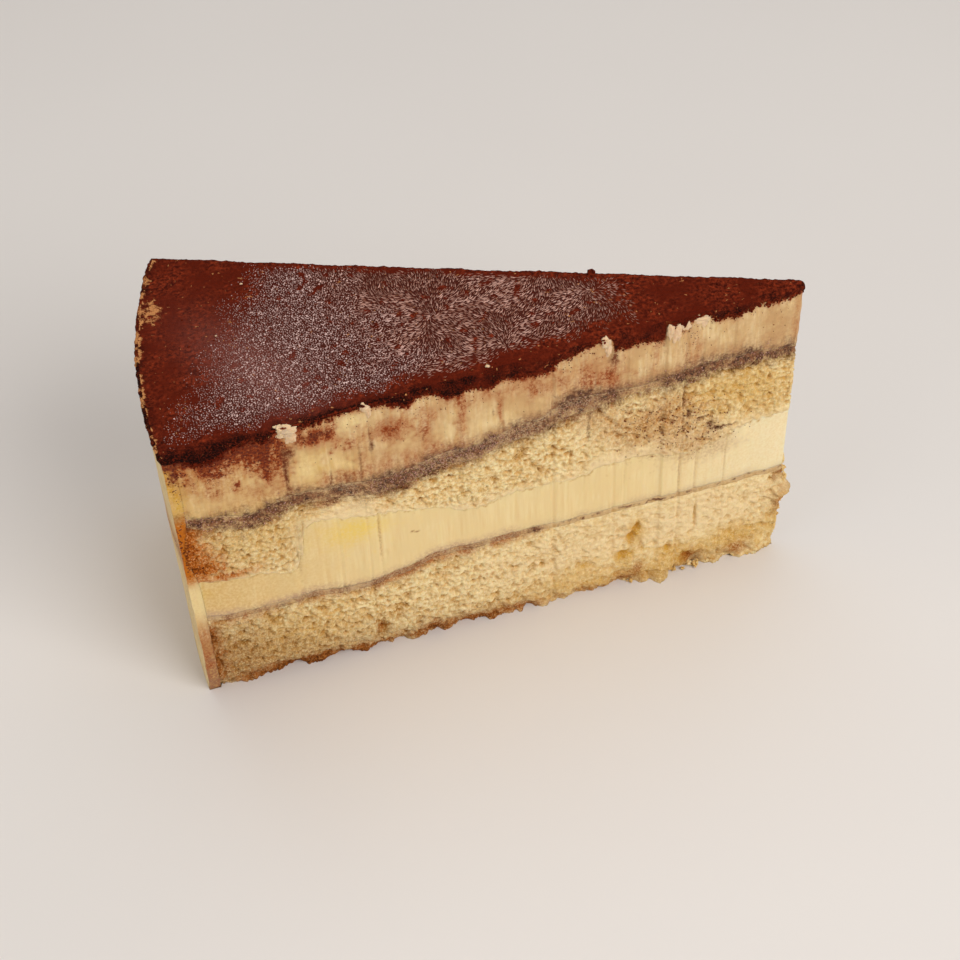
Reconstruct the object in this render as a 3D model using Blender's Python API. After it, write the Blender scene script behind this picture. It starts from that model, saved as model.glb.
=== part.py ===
"""A wedge-shaped slice of a cream layer cake, standing on its base.

From the base up: a sponge, a thin coffee-soaked seam, a middle cream, a second
sponge, a thicker coffee-soaked seam, a top cream and a skin of cocoa powder.
A coat of cream wraps the outer rim. Every layer is one closed solid.

Frame: the point of the slice towards +X, the rim towards -X, the better cut
face towards -Y, +Z up. The origin is below the middle of the slice's box.
"""
import math

import bmesh
import bpy
import numpy as np
from mathutils import Vector, noise

MM = 0.001

# The wedge, in metres.
CUT_LENGTH = 120 * MM          # point to rim along the front cut
BACK_CUT_STRETCH = 1.034       # the back cut missed the cake's centre, so it is longer
WEDGE_ANGLE = math.radians(27.1)
POINT_WIDTH = 1.6 * MM         # the knife leaves a narrow blunt point
RIM_HEIGHT = 64.5 * MM
POINT_HEIGHT = 69.2 * MM
GAP = 0.3 * MM                 # between neighbouring layers

# The cream coat round the rim, thinnest where the upper sponge presses into it.
COAT = 2.2 * MM
COAT_SQUEEZE = 1.5 * MM
SQUEEZE_HEIGHT = 40.0 * MM
SQUEEZE_SPREAD = 5.5 * MM

# Layers as (distance from the point, height) along a cut, in millimetres.
LOWER_SEAM = ((0, 22.6), (30, 22.8), (72, 23.0), (88, 19.7), (106, 20.6), (120, 22.4))
MIDDLE_CREAM_FRONT = ((0, 37.9), (9, 37.3), (20, 34.1), (34, 35.7), (66, 33.6),
                      (83, 38.4), (94, 40.0), (99, 28.9), (120, 32.6))
MIDDLE_CREAM_BACK = ((0, 37.9), (25, 34.8), (60, 36.2), (95, 33.4), (120, 32.6))
UPPER_SEAM = ((0, 54.0), (16, 55.0), (45, 53.1), (52, 50.3), (82, 45.6),
              (97, 47.5), (106, 44.9), (120, 48.8))
LOWER_SEAM_THICKNESS = 1.4 * MM
UPPER_SEAM_THICKNESS = 3.2 * MM
UPPER_SEAM_ENDS = 0.75         # share of that thickness left at the point and the rim
SEAM_RIPPLE = 0.3 * MM         # the creams sink unevenly into the sponges
CREAM_RIPPLE = 0.5 * MM
RIPPLE_SIZE = 7.0 * MM

# Cocoa skin: its depth down a cut, and the tufts of cream that break through it.
COCOA_DEPTH = 2.5 * MM
COCOA_DEPTH_CHANGE = 1.1 * MM
COCOA_THINNEST = 0.8 * MM
COCOA_RIM_DEPTH = 1.6 * MM
COCOA_RIM_ZONE = 8.0 * MM      # the depth settles to the rim's own over this stretch
COCOA_EDGE_ROUND = 0.5 * MM
CREAM_TUFTS = ((23, 4.0), (38, 2.0), (82, 1.6), (98, 1.9))

# Surface relief.
SPONGE_CRAGS = 0.6 * MM        # depth of the torn crumb
CRAG_SIZE = 3.4 * MM
KNIFE_DRAG = 0.3 * MM          # depth of the upright marks that the knife leaves in cream
DRAG_SIZE = 5.0 * MM
KNIFE_STEP = 0.5 * MM          # the knife was set again this far out ...
KNIFE_STEP_AT = 26.5 * MM      # ... at this distance from the point
TOP_UNEVENNESS = 0.25 * MM
TOP_WAVE_SIZE = 14.0 * MM

# How far the crumbly foot of the front cut stands out (+) or has broken away (-):
# (distance from the point, offset) in millimetres.
FOOT_FRONT = ((0, -0.4), (6, 1.2), (8.5, -1.7), (14, 0.4), (17.5, -2.0), (27, 1.4),
              (34, -0.6), (47, -0.3), (60, -1.0), (85, -1.0), (100, -1.9), (120, -1.4))
FOOT_BACK = ((0, -0.4), (12, 0.8), (22, -1.6), (40, -0.5), (75, -1.2), (120, -0.8))
FOOT_HEIGHT = 5.0 * MM         # the foot's unevenness fades out above this
LOOSE_CHUNK = 2.9 * MM         # crumb left hanging off the point of the lower sponge
CHUNK_HEIGHT = 15.5 * MM
CHUNK_SPREAD = 2.6 * MM

# Facets: each outline has the point, this many corners down each side, and the rim's middle.
POINT_CORNERS = 2
CUT_CORNERS = 50
RIM_CORNERS = 12
TOP_ROWS = 6                   # facets across the top skin
HALF_ANGLE = WEDGE_ANGLE / 2
SIDE_CORNERS = POINT_CORNERS + CUT_CORNERS + RIM_CORNERS


def smooth_curve(knots, distance):
    """Read a curve, eased like a half cosine between its knots, at a distance in metres."""
    places = [place * MM for place, _ in knots]
    if distance <= places[0]:
        return knots[0][1] * MM
    for (start, low), (end, high) in zip(knots, knots[1:]):
        if distance <= end * MM:
            share = (distance / MM - start) / (end - start)
            return (low + (high - low) * (1 - math.cos(math.pi * share)) / 2) * MM
    return knots[-1][1] * MM


def bump(distance, centre, spread):
    """A smooth hill of height 1."""
    return math.exp(-((distance - centre) / spread) ** 2)


def wave(distance, size, row):
    """Smooth unevenness between about -1 and 1, a different one for each row."""
    return 1.6 * noise.noise(Vector((distance / size, 7.3 * row, 0.5)))


def crags(point):
    """Crumb relief between about -1 and 1: coarse lumps with finer ones on them."""
    spot = Vector(point) / CRAG_SIZE
    return 1.2 * noise.noise(spot) + 0.6 * noise.noise(spot * 2.3 + Vector((5.0, 1.0, 3.0)))


def coat_thickness(height):
    """The coat at a height: thick beside the creams, thin beside the upper sponge."""
    return COAT - COAT_SQUEEZE * bump(height, SQUEEZE_HEIGHT, SQUEEZE_SPREAD)


def rim_point(turn, inset=0.0):
    """A point of the rim: turn runs from -1 at the front cut to 1 at the back cut."""
    angle = turn * HALF_ANGLE
    reach = CUT_LENGTH * (1 + (BACK_CUT_STRETCH - 1) * (turn + 1) / 2) - inset
    return Vector((-reach * math.cos(angle), reach * math.sin(angle), 0))


class Corner:
    """One corner of the outline: its place, its outward direction and what it is on."""

    def __init__(self, side, number):
        self.side = side
        self.part = "cut"
        self.turn = 0.0
        cut_start = Vector((-0.2 * POINT_WIDTH, side * POINT_WIDTH / 2, 0))
        cut_end = rim_point(side, COAT + GAP)
        along = (cut_end - cut_start).normalized()
        self.outward = Vector((along.y, -along.x, 0)) * side
        if number <= POINT_CORNERS:
            self.part = "point"
            angle = math.pi / 2 * number / (POINT_CORNERS + 1) * side
            self.outward = Vector((math.cos(angle), math.sin(angle), 0))
            self.place = Vector((0.8 * math.cos(angle) - 0.3, math.sin(angle), 0)) * POINT_WIDTH / 2
        elif number <= POINT_CORNERS + CUT_CORNERS:
            share = (number - POINT_CORNERS - 1) / (CUT_CORNERS - 1)
            self.place = cut_start.lerp(cut_end, share)
            if number == POINT_CORNERS + CUT_CORNERS:
                self.part = "corner"
                self.turn = side
        else:
            self.part = "rim"
            self.turn = side * (SIDE_CORNERS + 1 - number) / (RIM_CORNERS + 1)
            self.place = rim_point(self.turn, COAT + GAP)
            self.outward = self.place.normalized()
        self.distance = self.place.length


def outline():
    """The slice's corners in one turn: point, front side, rim's middle, back side."""
    front = [Corner(-1, number) for number in range(1, SIDE_CORNERS + 1)]
    back = [Corner(1, number) for number in range(SIDE_CORNERS, 0, -1)]
    point = Corner(-1, 0)
    middle = Corner(1, SIDE_CORNERS + 1)
    return [point] + front + [middle] + back


OUTLINE = outline()


def both_sides(corner, front, back):
    """Blend a front value into a back value: fully one or the other on the cuts."""
    if corner.part in ("rim", "corner"):
        share = (corner.turn + 1) / 2
    elif corner.part == "point":
        share = (corner.outward.y + 1) / 2
    else:
        share = (corner.side + 1) / 2
    return front + (back - front) * share


def top_height(corner):
    """The top rises a little from the rim to the point."""
    share = min(corner.distance / CUT_LENGTH, 1.0)
    return POINT_HEIGHT + (RIM_HEIGHT - POINT_HEIGHT) * share


def ripple(corner, row):
    """The unevenness of a layer's edge: 1 at most, and none on the rim."""
    if corner.part in ("rim", "corner"):
        return 0.0
    return wave(corner.side * corner.distance, RIPPLE_SIZE, row)


def lower_seam(corner):
    return smooth_curve(LOWER_SEAM, corner.distance) + SEAM_RIPPLE * ripple(corner, 3)


def upper_seam(corner):
    return smooth_curve(UPPER_SEAM, corner.distance) + SEAM_RIPPLE * ripple(corner, 4)


def upper_seam_half(corner):
    """Half of the soaked seam's thickness, which swells in the middle of the slice."""
    share = math.sin(math.pi * min(corner.distance / CUT_LENGTH, 1.0)) ** 0.5
    return UPPER_SEAM_THICKNESS / 2 * (UPPER_SEAM_ENDS + (1 - UPPER_SEAM_ENDS) * share)


def middle_cream_top(corner):
    front = smooth_curve(MIDDLE_CREAM_FRONT, corner.distance)
    back = smooth_curve(MIDDLE_CREAM_BACK, corner.distance)
    return both_sides(corner, front, back) + CREAM_RIPPLE * ripple(corner, 6)


def cocoa_depth(corner):
    """How far down the cocoa reaches: uneven, and thin where a cream tuft breaks it."""
    if corner.part in ("rim", "corner"):
        return COCOA_RIM_DEPTH
    depth = COCOA_DEPTH + COCOA_DEPTH_CHANGE * wave(corner.side * corner.distance, 9 * MM, 1)
    if corner.side < 0:
        for centre, width in CREAM_TUFTS:
            depth -= 2 * COCOA_DEPTH * bump(corner.distance, centre * MM, width * MM)
    settled = (corner.distance - CUT_LENGTH) / COCOA_RIM_ZONE + 1.5
    settled = min(max(settled, 0.0), 1.0)
    return max(depth, COCOA_THINNEST) * (1 - settled) + COCOA_RIM_DEPTH * settled


def cocoa_base(corner):
    return top_height(corner) - cocoa_depth(corner)


def knife_path(corner):
    """The cut's own unevenness, the same at every height, so the layers stay in line."""
    if corner.part != "cut":
        return 0.0
    drag = KNIFE_DRAG * wave(corner.distance, DRAG_SIZE, 2 + corner.side)
    step = 0.0
    if corner.side < 0:
        step = KNIFE_STEP / (1 + math.exp((corner.distance - KNIFE_STEP_AT) / (0.5 * MM)))
        step *= min(corner.distance / KNIFE_STEP_AT, 1.0)
    return drag + step


def foot_offset(corner, height):
    """The broken foot of the lower sponge, fading out upwards."""
    if corner.part == "rim":
        return 0.0
    front = smooth_curve(FOOT_FRONT, corner.distance)
    back = smooth_curve(FOOT_BACK, corner.distance)
    fade = max(0.0, 1 - height / FOOT_HEIGHT)
    return both_sides(corner, front, back) * fade


def wall_point(corner, height, relief):
    """One corner of a layer's side at a height, moved outwards by its relief."""
    spot = corner.place.copy()
    spot.z = height
    if corner.part in ("rim", "corner"):
        squeezed = rim_point(corner.turn, coat_thickness(height) + GAP)
        spot.x, spot.y = squeezed.x, squeezed.y
        return spot
    return spot + corner.outward * (knife_path(corner) + relief)


def interface_gap(heights):
    """The upright gap at each corner: wider where the layers meet on a slope."""
    gaps = []
    for index, height in enumerate(heights):
        before = heights[index - 1]
        after = heights[(index + 1) % len(heights)]
        run = (OUTLINE[index - 1].place - OUTLINE[(index + 1) % len(heights)].place).length
        slope = abs(after - before) / run
        gaps.append(GAP * math.sqrt(1 + slope * slope))
    return gaps


def layer_rings(bottom, top, levels, relief, lift=True, drop=True):
    """Rings of corners from a layer's underside to its upper side.

    bottom and top give a height for each corner, and half of the gap is kept
    to each neighbour. relief gives the outward relief of a corner at a height,
    and it fades to nothing at both faces, so that neighbours share an outline.
    """
    lows = [bottom(corner) for corner in OUTLINE]
    highs = [top(corner) for corner in OUTLINE]
    low_gaps = interface_gap(lows)
    high_gaps = interface_gap(highs)
    rings = []
    for level in range(levels + 1):
        share = level / levels
        fade = math.sin(math.pi * share) ** 0.5 if 0 < level < levels else 0.0
        ring = []
        for index, corner in enumerate(OUTLINE):
            low = lows[index] + (low_gaps[index] / 2 if lift else 0.0)
            high = highs[index] - (high_gaps[index] / 2 if drop else 0.0)
            height = low + (high - low) * share
            ring.append(wall_point(corner, height, relief(corner, height, fade)))
        rings.append(ring)
    return rings


def sponge_relief(corner, height, fade):
    spot = corner.place + Vector((0, 0, height))
    return SPONGE_CRAGS * crags(spot) * fade


def lower_sponge_relief(corner, height, fade):
    """Crags, the broken foot and the chunk of crumb that hangs off the point."""
    relief = sponge_relief(corner, height, fade) + foot_offset(corner, height)
    if corner.part == "point":
        relief += LOOSE_CHUNK * bump(height, CHUNK_HEIGHT, CHUNK_SPREAD)
    return relief


def cream_relief(corner, height, fade):
    """A faint swell, as cream springs back behind the knife."""
    return 0.15 * MM * fade * wave(corner.distance + height / 4, 8 * MM, 5)


def no_relief(corner, height, fade):
    return 0.0


def close_rings(bm, rings):
    """Join the rings with upright facets and close the lowest and highest with rungs."""
    loops = [[bm.verts.new(spot) for spot in ring] for ring in rings]
    count = len(OUTLINE)
    for lower, upper in zip(loops, loops[1:]):
        for index in range(count):
            following = (index + 1) % count
            bm.faces.new((lower[index], lower[following], upper[following], upper[index]))
    return loops


def rung_cap(bm, loop):
    """Fill an outline with rungs from its front side to its back side, split alike."""
    count = len(loop)
    for index in range(SIDE_CORNERS + 1):
        front = loop[index], loop[index + 1]
        back = loop[-index], loop[(count - index - 1) % count]
        if index == 0:
            bm.faces.new((front[0], front[1], back[1]))
        elif index == SIDE_CORNERS:
            bm.faces.new((front[0], front[1], back[0]))
        else:
            bm.faces.new((front[0], front[1], back[1]))
            bm.faces.new((front[0], back[1], back[0]))


def uneven_cap(bm, loop):
    """Fill an outline with rungs of several facets, which dip and rise a little."""
    count = len(loop)
    rungs = [[loop[0]] * (TOP_ROWS + 1)]
    for index in range(1, SIDE_CORNERS + 1):
        front, back = loop[index], loop[count - index]
        rung = [front]
        for row in range(1, TOP_ROWS):
            spot = front.co.lerp(back.co, row / TOP_ROWS)
            rise = noise.noise(Vector((spot.x, spot.y, 0)) / TOP_WAVE_SIZE)
            spot.z += 1.6 * TOP_UNEVENNESS * rise * math.sin(math.pi * row / TOP_ROWS)
            rung.append(bm.verts.new(spot))
        rungs.append(rung + [back])
    rungs.append([loop[SIDE_CORNERS + 1]] * (TOP_ROWS + 1))
    for near, far in zip(rungs, rungs[1:]):
        for row in range(TOP_ROWS):
            corners = (near[row], far[row], far[row + 1], near[row + 1])
            bm.faces.new(tuple(dict.fromkeys(corners)))


def layer_mesh(rings, cap=rung_cap):
    """A closed layer: its side walls, a flat-runged underside and a chosen upper side."""
    bm = bmesh.new()
    loops = close_rings(bm, rings)
    rung_cap(bm, loops[0])
    cap(bm, loops[-1])
    return bm


def cocoa_rings():
    """The skin's underside, its side, and its rounded top edge."""
    rings = layer_rings(cocoa_base, top_height, 1, no_relief, drop=False)
    skin = []
    for ring, is_top in ((rings[0], False), (rings[1], False), (rings[1], True)):
        shaped = []
        for index, corner in enumerate(OUTLINE):
            spot = ring[index].copy()
            if corner.part in ("rim", "corner"):
                edge = rim_point(corner.turn)
                spot.x, spot.y = edge.x, edge.y
            inward = corner.outward * -COCOA_EDGE_ROUND
            if ring is rings[1] and not is_top:
                spot.z -= min(COCOA_EDGE_ROUND, cocoa_depth(corner) / 2)
            if is_top:
                spot += inward * (0.5 if corner.part == "point" else 1.0)
            shaped.append(spot)
        skin.append(shaped)
    return skin


def coat_mesh():
    """The coat: an outer and an inner wall round the rim, joined along their edges."""
    heights = 18
    turns = 2 * RIM_CORNERS + 2
    bm = bmesh.new()
    walls = []
    for is_inner in (False, True):
        grid = []
        for row in range(turns + 1):
            turn = -1 + 2 * row / turns
            corner = OUTLINE[POINT_CORNERS + CUT_CORNERS + row]
            top = cocoa_base(corner) - GAP / 2
            column = []
            for level in range(heights + 1):
                height = top * level / heights
                inset = coat_thickness(height) if is_inner else 0.0
                if not is_inner and 0 < level < heights:
                    inset = 0.2 * MM * abs(wave(turn * 30 * MM + height / 3, 9 * MM, 8))
                spot = rim_point(turn, inset)
                spot.z = height
                column.append(bm.verts.new(spot))
            grid.append(column)
        walls.append(grid)
    outer, inner = walls
    for grid in walls:
        for left, right in zip(grid, grid[1:]):
            for level in range(heights):
                bm.faces.new((left[level], right[level], right[level + 1], left[level + 1]))
    for row in range(turns):
        for level in (0, heights):
            bm.faces.new((outer[row][level], outer[row + 1][level],
                          inner[row + 1][level], inner[row][level]))
    for row in (0, turns):
        for level in range(heights):
            bm.faces.new((outer[row][level], outer[row][level + 1],
                          inner[row][level + 1], inner[row][level]))
    return bm


def clear_scene():
    for item in list(bpy.data.objects):
        bpy.data.objects.remove(item, do_unlink=True)


def food_material(name, colour, roughness):
    material = bpy.data.materials.new(name)
    material.use_nodes = True
    shader = material.node_tree.nodes["Principled BSDF"]
    shader.inputs["Base Color"].default_value = (*colour, 1.0)
    shader.inputs["Roughness"].default_value = roughness
    shader.inputs["Metallic"].default_value = 0.0
    return material


def add_piece(name, bm, material, shift):
    """Turn a finished bmesh into a named object, moved into the slice's own frame."""
    bmesh.ops.translate(bm, vec=shift, verts=bm.verts)
    bmesh.ops.recalc_face_normals(bm, faces=bm.faces)
    mesh = bpy.data.meshes.new(name)
    bm.to_mesh(mesh)
    bm.free()
    mesh.materials.append(material)
    piece = bpy.data.objects.new(name, mesh)
    bpy.context.scene.collection.objects.link(piece)
    return piece


def build_layers():
    """Every layer of the slice as (name, mesh, material)."""
    sponge = food_material("sponge", (0.66, 0.44, 0.19), 0.9)
    soaked = food_material("coffee_soaked_crumb", (0.22, 0.12, 0.07), 0.75)
    cream = food_material("cream", (0.80, 0.60, 0.30), 0.5)
    cocoa = food_material("cocoa_powder", (0.10, 0.02, 0.01), 0.85)

    faces = {
        "base": lambda corner: 0.0,
        "lower_seam_base": lambda corner: lower_seam(corner) - LOWER_SEAM_THICKNESS / 2,
        "lower_seam_top": lambda corner: lower_seam(corner) + LOWER_SEAM_THICKNESS / 2,
        "middle_cream_top": middle_cream_top,
        "upper_seam_base": lambda corner: upper_seam(corner) - upper_seam_half(corner),
        "upper_seam_top": lambda corner: upper_seam(corner) + upper_seam_half(corner),
        "cocoa_base": cocoa_base,
    }
    stack = (
        ("sponge_bottom", sponge, "base", "lower_seam_base", 9, lower_sponge_relief),
        ("coffee_lower", soaked, "lower_seam_base", "lower_seam_top", 1, no_relief),
        ("cream_middle", cream, "lower_seam_top", "middle_cream_top", 4, cream_relief),
        ("sponge_middle", sponge, "middle_cream_top", "upper_seam_base", 7, sponge_relief),
        ("coffee_upper", soaked, "upper_seam_base", "upper_seam_top", 2, no_relief),
        ("cream_top", cream, "upper_seam_top", "cocoa_base", 5, cream_relief),
    )
    pieces = []
    for name, material, bottom, top, levels, relief in stack:
        rings = layer_rings(faces[bottom], faces[top], levels, relief, lift=bottom != "base")
        pieces.append((name, material, layer_mesh(rings)))
    pieces.append(("cocoa_top", cocoa, layer_mesh(cocoa_rings(), uneven_cap)))
    pieces.append(("cream_side", cream, coat_mesh()))
    return pieces


clear_scene()
layers = build_layers()
spots = np.array([vert.co for _, _, bm in layers for vert in bm.verts])
lowest, highest = spots.min(axis=0), spots.max(axis=0)
middle = (lowest + highest) / 2
to_frame = Vector((-middle[0], -middle[1], -lowest[2]))
for piece_name, piece_material, piece_mesh in layers:
    add_piece(piece_name, piece_mesh, piece_material, to_frame)
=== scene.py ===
"""The looks of a slice of cream layer cake, put together from its base upwards.

The slice stands on its base with its point towards +X, its rim towards -X and
its better cut towards -Y. Sizes are millimetres measured from the point of the
slice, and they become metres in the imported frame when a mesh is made.
"""
import itertools

import bmesh
import bpy
import numpy as np
from mathutils import Matrix, Vector


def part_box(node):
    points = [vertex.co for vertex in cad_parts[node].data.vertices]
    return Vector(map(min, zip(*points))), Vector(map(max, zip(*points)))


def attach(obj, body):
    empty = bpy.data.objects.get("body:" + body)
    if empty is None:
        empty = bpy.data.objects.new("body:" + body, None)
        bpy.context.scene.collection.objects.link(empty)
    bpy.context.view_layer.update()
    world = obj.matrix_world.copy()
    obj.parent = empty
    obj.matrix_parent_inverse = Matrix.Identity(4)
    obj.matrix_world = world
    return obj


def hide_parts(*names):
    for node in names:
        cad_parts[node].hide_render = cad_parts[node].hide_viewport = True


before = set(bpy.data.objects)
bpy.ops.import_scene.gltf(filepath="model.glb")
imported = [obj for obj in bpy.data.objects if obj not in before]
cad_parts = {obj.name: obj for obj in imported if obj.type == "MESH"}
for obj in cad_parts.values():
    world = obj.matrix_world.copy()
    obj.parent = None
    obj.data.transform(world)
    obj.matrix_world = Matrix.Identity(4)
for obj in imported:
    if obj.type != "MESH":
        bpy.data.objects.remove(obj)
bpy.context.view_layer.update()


# ------------------------------------------------------------------ lower sponge
# The vanilla sponge that the slice stands on. It is an open, springy crumb with
# a browned base crust. The knife tore its foot, which crumbled away in places,
# and left one chunk hanging off the point.

MM = 0.001
HALF_ANGLE = np.radians(27.1 / 2)
CUT_LENGTH = 120.0
BACK_STRETCH = 1.034                 # the back cut is this much longer
POINT_WIDTH = 1.6
COAT = 2.2                           # cream coat on the rim ...
COAT_SQUEEZE = 1.5                   # ... and how much the upper sponge thins it
SQUEEZE_HEIGHT = 40.0
SQUEEZE_SPREAD = 5.5
TOUCH = 0.004                        # left between neighbouring pieces
SLICE_POINT = np.array([
    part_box("coffee_lower")[1].x / MM - 0.25 * POINT_WIDTH,
    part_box("cream_side")[0].y / MM + CUT_LENGTH * np.sin(HALF_ANGLE),
    0.0,
])


def bell(value, middle, width):
    """1 at the middle and falling off round it: e to the minus square of the widths between."""
    return np.exp(-((value - middle) / width) ** 2)


def coat_thickness(height):
    """Even thickness less a bell-shaped squeeze about the upper sponge."""
    return COAT - COAT_SQUEEZE * bell(height, SQUEEZE_HEIGHT, SQUEEZE_SPREAD)


def rim_place(turn, inset):
    """Places on the rim. turn runs from -1 at the front cut to 1 at the back cut.

    The reach grows evenly from one cut to the other, less the inset, and the
    place is (-reach cos angle, reach sin angle).
    """
    reach = CUT_LENGTH * (1 + (BACK_STRETCH - 1) * (turn + 1) / 2) - inset
    return np.stack([-reach * np.cos(turn * HALF_ANGLE), reach * np.sin(turn * HALF_ANGLE)], -1)


def knotted_curve(distance, knots):
    """A curve through (distance, value) knots, eased like a half cosine between them."""
    places, values = np.array(knots, float).T
    before = np.clip(np.searchsorted(places, distance, side="right") - 1, 0, len(places) - 2)
    share = np.clip((distance - places[before]) / np.diff(places)[before], 0, 1)
    return values[before] + np.diff(values)[before] * (1 - np.cos(np.pi * share)) / 2


def scatter(cell, seed):
    """Three repeatable random numbers from 0 to 1 for each cell of a lattice.

    The cell's three whole numbers are summed with large odd factors, the high
    bits are folded into the low ones twice, and the result is cut into three.
    """
    mixed = (cell * np.array([73856093, 19349663, 83492791])).sum(-1) + seed * 7919
    mixed = mixed.astype(np.uint64)
    for shift, factor in ((30, 0xBF58476D1CE4E5B9), (27, 0x94D049BB133111EB)):
        mixed = (mixed ^ (mixed >> np.uint64(shift))) * np.uint64(factor)
    thirds = [(mixed >> np.uint64(low)) & np.uint64(0x1FFFFF) for low in (1, 22, 43)]
    return np.stack(thirds, -1) / float(0x1FFFFF)


def noise(spots, size, seed):
    """Smooth unevenness, mostly from -1 to 1, with humps about one size apart.

    Every corner of a lattice holds a random slope. A spot takes the height that
    each of its eight corners' slopes gives there, blended by 6t^5 - 15t^4 + 10t^3
    along each axis. size is in mm, one number or one for each axis.
    """
    place = spots / np.array(size)
    cell = np.floor(place).astype(np.int64)
    inside = place - cell
    ease = inside ** 3 * (inside * (inside * 6 - 15) + 10)
    height = np.zeros(place.shape[:-1])
    for corner in itertools.product((0, 1), repeat=3):
        share = np.where(corner, ease, 1 - ease).prod(-1)
        height += share * ((scatter(cell + corner, seed) * 2 - 1) * (inside - corner)).sum(-1)
    return height * 1.8


def rough(spots, seed, *sizes):
    """Unevenness of several sizes: the sum of depth times noise over (depth, size) pairs."""
    return sum(depth * noise(spots, size, seed + index) for index, (depth, size) in enumerate(sizes))


def wave(distance, size, seed):
    """Smooth unevenness along one line only."""
    line = np.stack([distance / size, np.full_like(distance, 0.4), np.full_like(distance, 0.6)], -1)
    return noise(line, 1.0, seed)


def at_zero(flat):
    """Places seen from above, as spots at height zero."""
    return np.concatenate([flat, np.zeros(flat.shape[:-1] + (1,))], -1)


def pores(spots, size, smallest, largest, seed):
    """Depth in mm of the bubbles that the knife cut open.

    Each cell of a lattice holds one round bubble at a random place, its radius
    from smallest to largest. Inside it the depth is sqrt(radius^2 - distance^2),
    and a spot takes the deepest bubble of its 27 nearest cells.
    """
    cell = np.floor(spots / size).astype(np.int64)
    deepest = np.zeros(spots.shape[:-1])
    for neighbour in itertools.product((-1, 0, 1), repeat=3):
        near = cell + neighbour
        middle = (near + scatter(near, seed)) * size
        radius = smallest + (largest - smallest) * scatter(near, seed + 1)[..., 0] ** 2
        depth = radius ** 2 - ((spots - middle) ** 2).sum(-1)
        deepest = np.maximum(deepest, depth)
    return np.sqrt(deepest)


def torn_crumb(spots, seed):
    """Depth in mm of the open crumb: torn caves, smaller pits, and round bubbles.

    A cave is where two sizes of noise together pass a level. It deepens evenly
    above that level until it is full. Pits are the same at half the size.
    """
    squashed = spots * (1, 1, 1.5)
    caves = rough(squashed, seed, (1, 2.0), (0.6, 0.95))
    pits = rough(squashed, seed + 2, (1, 0.85), (0.7, 0.45))
    return (0.75 * ((caves - 0.12) / 0.5).clip(0, 1) + 0.5 * ((pits - 0.02) / 0.5).clip(0, 1)
            + 0.6 * pores(squashed, 2.6, 0.0, 0.85, seed + 4))


class Edge:
    """The slice's outline as columns, anticlockwise from above: point, back, rim, front.

    share runs from 0 at the point to 1 at the rim along a cut. side is -1 on the
    front cut and 1 on the back cut, and blends between them at both ends.
    """

    def __init__(self, front_step=0.2, back_step=0.5, rim_step=1.2, point_columns=11):
        back = np.linspace(0, 1, int(CUT_LENGTH * BACK_STRETCH / back_step))
        front = np.linspace(1, 0, int(CUT_LENGTH / front_step))
        turn = np.linspace(1, -1, int(2 * CUT_LENGTH * HALF_ANGLE / rim_step))[1:-1]
        angle = np.linspace(-1, 1, point_columns + 2)[1:-1] * np.pi / 2
        self.on_point = np.repeat([True, False], [point_columns, len(back) + len(turn) + len(front)])
        self.on_rim = np.repeat([False, True, False],
                                [point_columns + len(back), len(turn), len(front)])
        self.on_cut = ~(self.on_point | self.on_rim)
        self.share = np.concatenate([0 * angle, back, 0 * turn + 1, front])
        self.side = np.concatenate([np.sin(angle), 0 * back + 1, turn, 0 * front - 1])
        nose = np.stack([0.8 * np.cos(angle) - 0.3, np.sin(angle)], -1) * POINT_WIDTH / 2
        self.nose = np.zeros((len(self.side), 2))
        self.nose[self.on_point] = nose
        self.normal = self.outward(angle)
        self.place = self.places(np.zeros(len(self.side)) + 10.0)
        self.distance = np.hypot(*self.place.T)

    def outward(self, angle):
        """Unit outward directions: round the nose, square to the cuts, and radial on the rim."""
        normal = np.stack([-np.cos(self.side * HALF_ANGLE), np.sin(self.side * HALF_ANGLE)], -1)
        for side in (-1, 1):
            along = rim_place(np.array(float(side)), COAT) - (-0.2 * POINT_WIDTH,
                                                              side * POINT_WIDTH / 2)
            along /= np.hypot(*along)
            square = np.array([along[1], -along[0]]) * side
            normal[self.on_cut & (self.side == side)] = square
        normal[self.on_point] = np.stack([np.cos(angle), np.sin(angle)], -1)
        return normal

    def places(self, height):
        """Where each column stands at a height, inside the coat and before any relief."""
        inset = coat_thickness(height) + TOUCH
        start = np.stack([np.full(len(self.side), -0.2 * POINT_WIDTH),
                          self.side * POINT_WIDTH / 2], -1)
        end = rim_place(self.side, inset)
        cut = start + (end - start) * self.share[:, None]
        return np.where(self.on_point[:, None], self.nose, cut)


edge = Edge()

# Cracks and ridges that the knife left down the whole cut: where, how wide, how deep.
KNIFE_LINES = ((83.2, 0.3, 0.12), (98.9, 0.45, 0.08), (22.6, 0.3, 0.3), (19.2, 0.35, 0.22),
               (13, 0.22, 0.18), (34, 0.25, 0.12), (48.6, 0.35, 0.22), (91, 0.3, 0.15),
               (85.4, 0.25, 0.15), (36.2, 0.35, 0.2))


STEP_PLACE = 26.4                    # where the knife was set again on the front cut
STEP_HEIGHT = 0.5
STEP_WIDTH = 0.12


def knife_path(distance, side):
    """The unevenness that all layers share: a slow drag, cracks, and a step.

    Each crack is a bell-shaped groove. The step is where the knife was set again,
    rising as 1 / (1 + e^x) and fading out towards the point.
    """
    path = 0.22 * wave(distance, 5.0, 21) + 0.06 * wave(distance, 1.3, 22)
    front = np.clip(-side, 0, 1)
    for place, width, depth in KNIFE_LINES:
        path = path - front * depth * bell(distance, place, width)
    step = STEP_HEIGHT / (1 + np.exp(np.clip((distance - STEP_PLACE) / STEP_WIDTH, -30, 30)))
    return path + front * step * np.clip(distance / STEP_PLACE, 0, 1)


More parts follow.
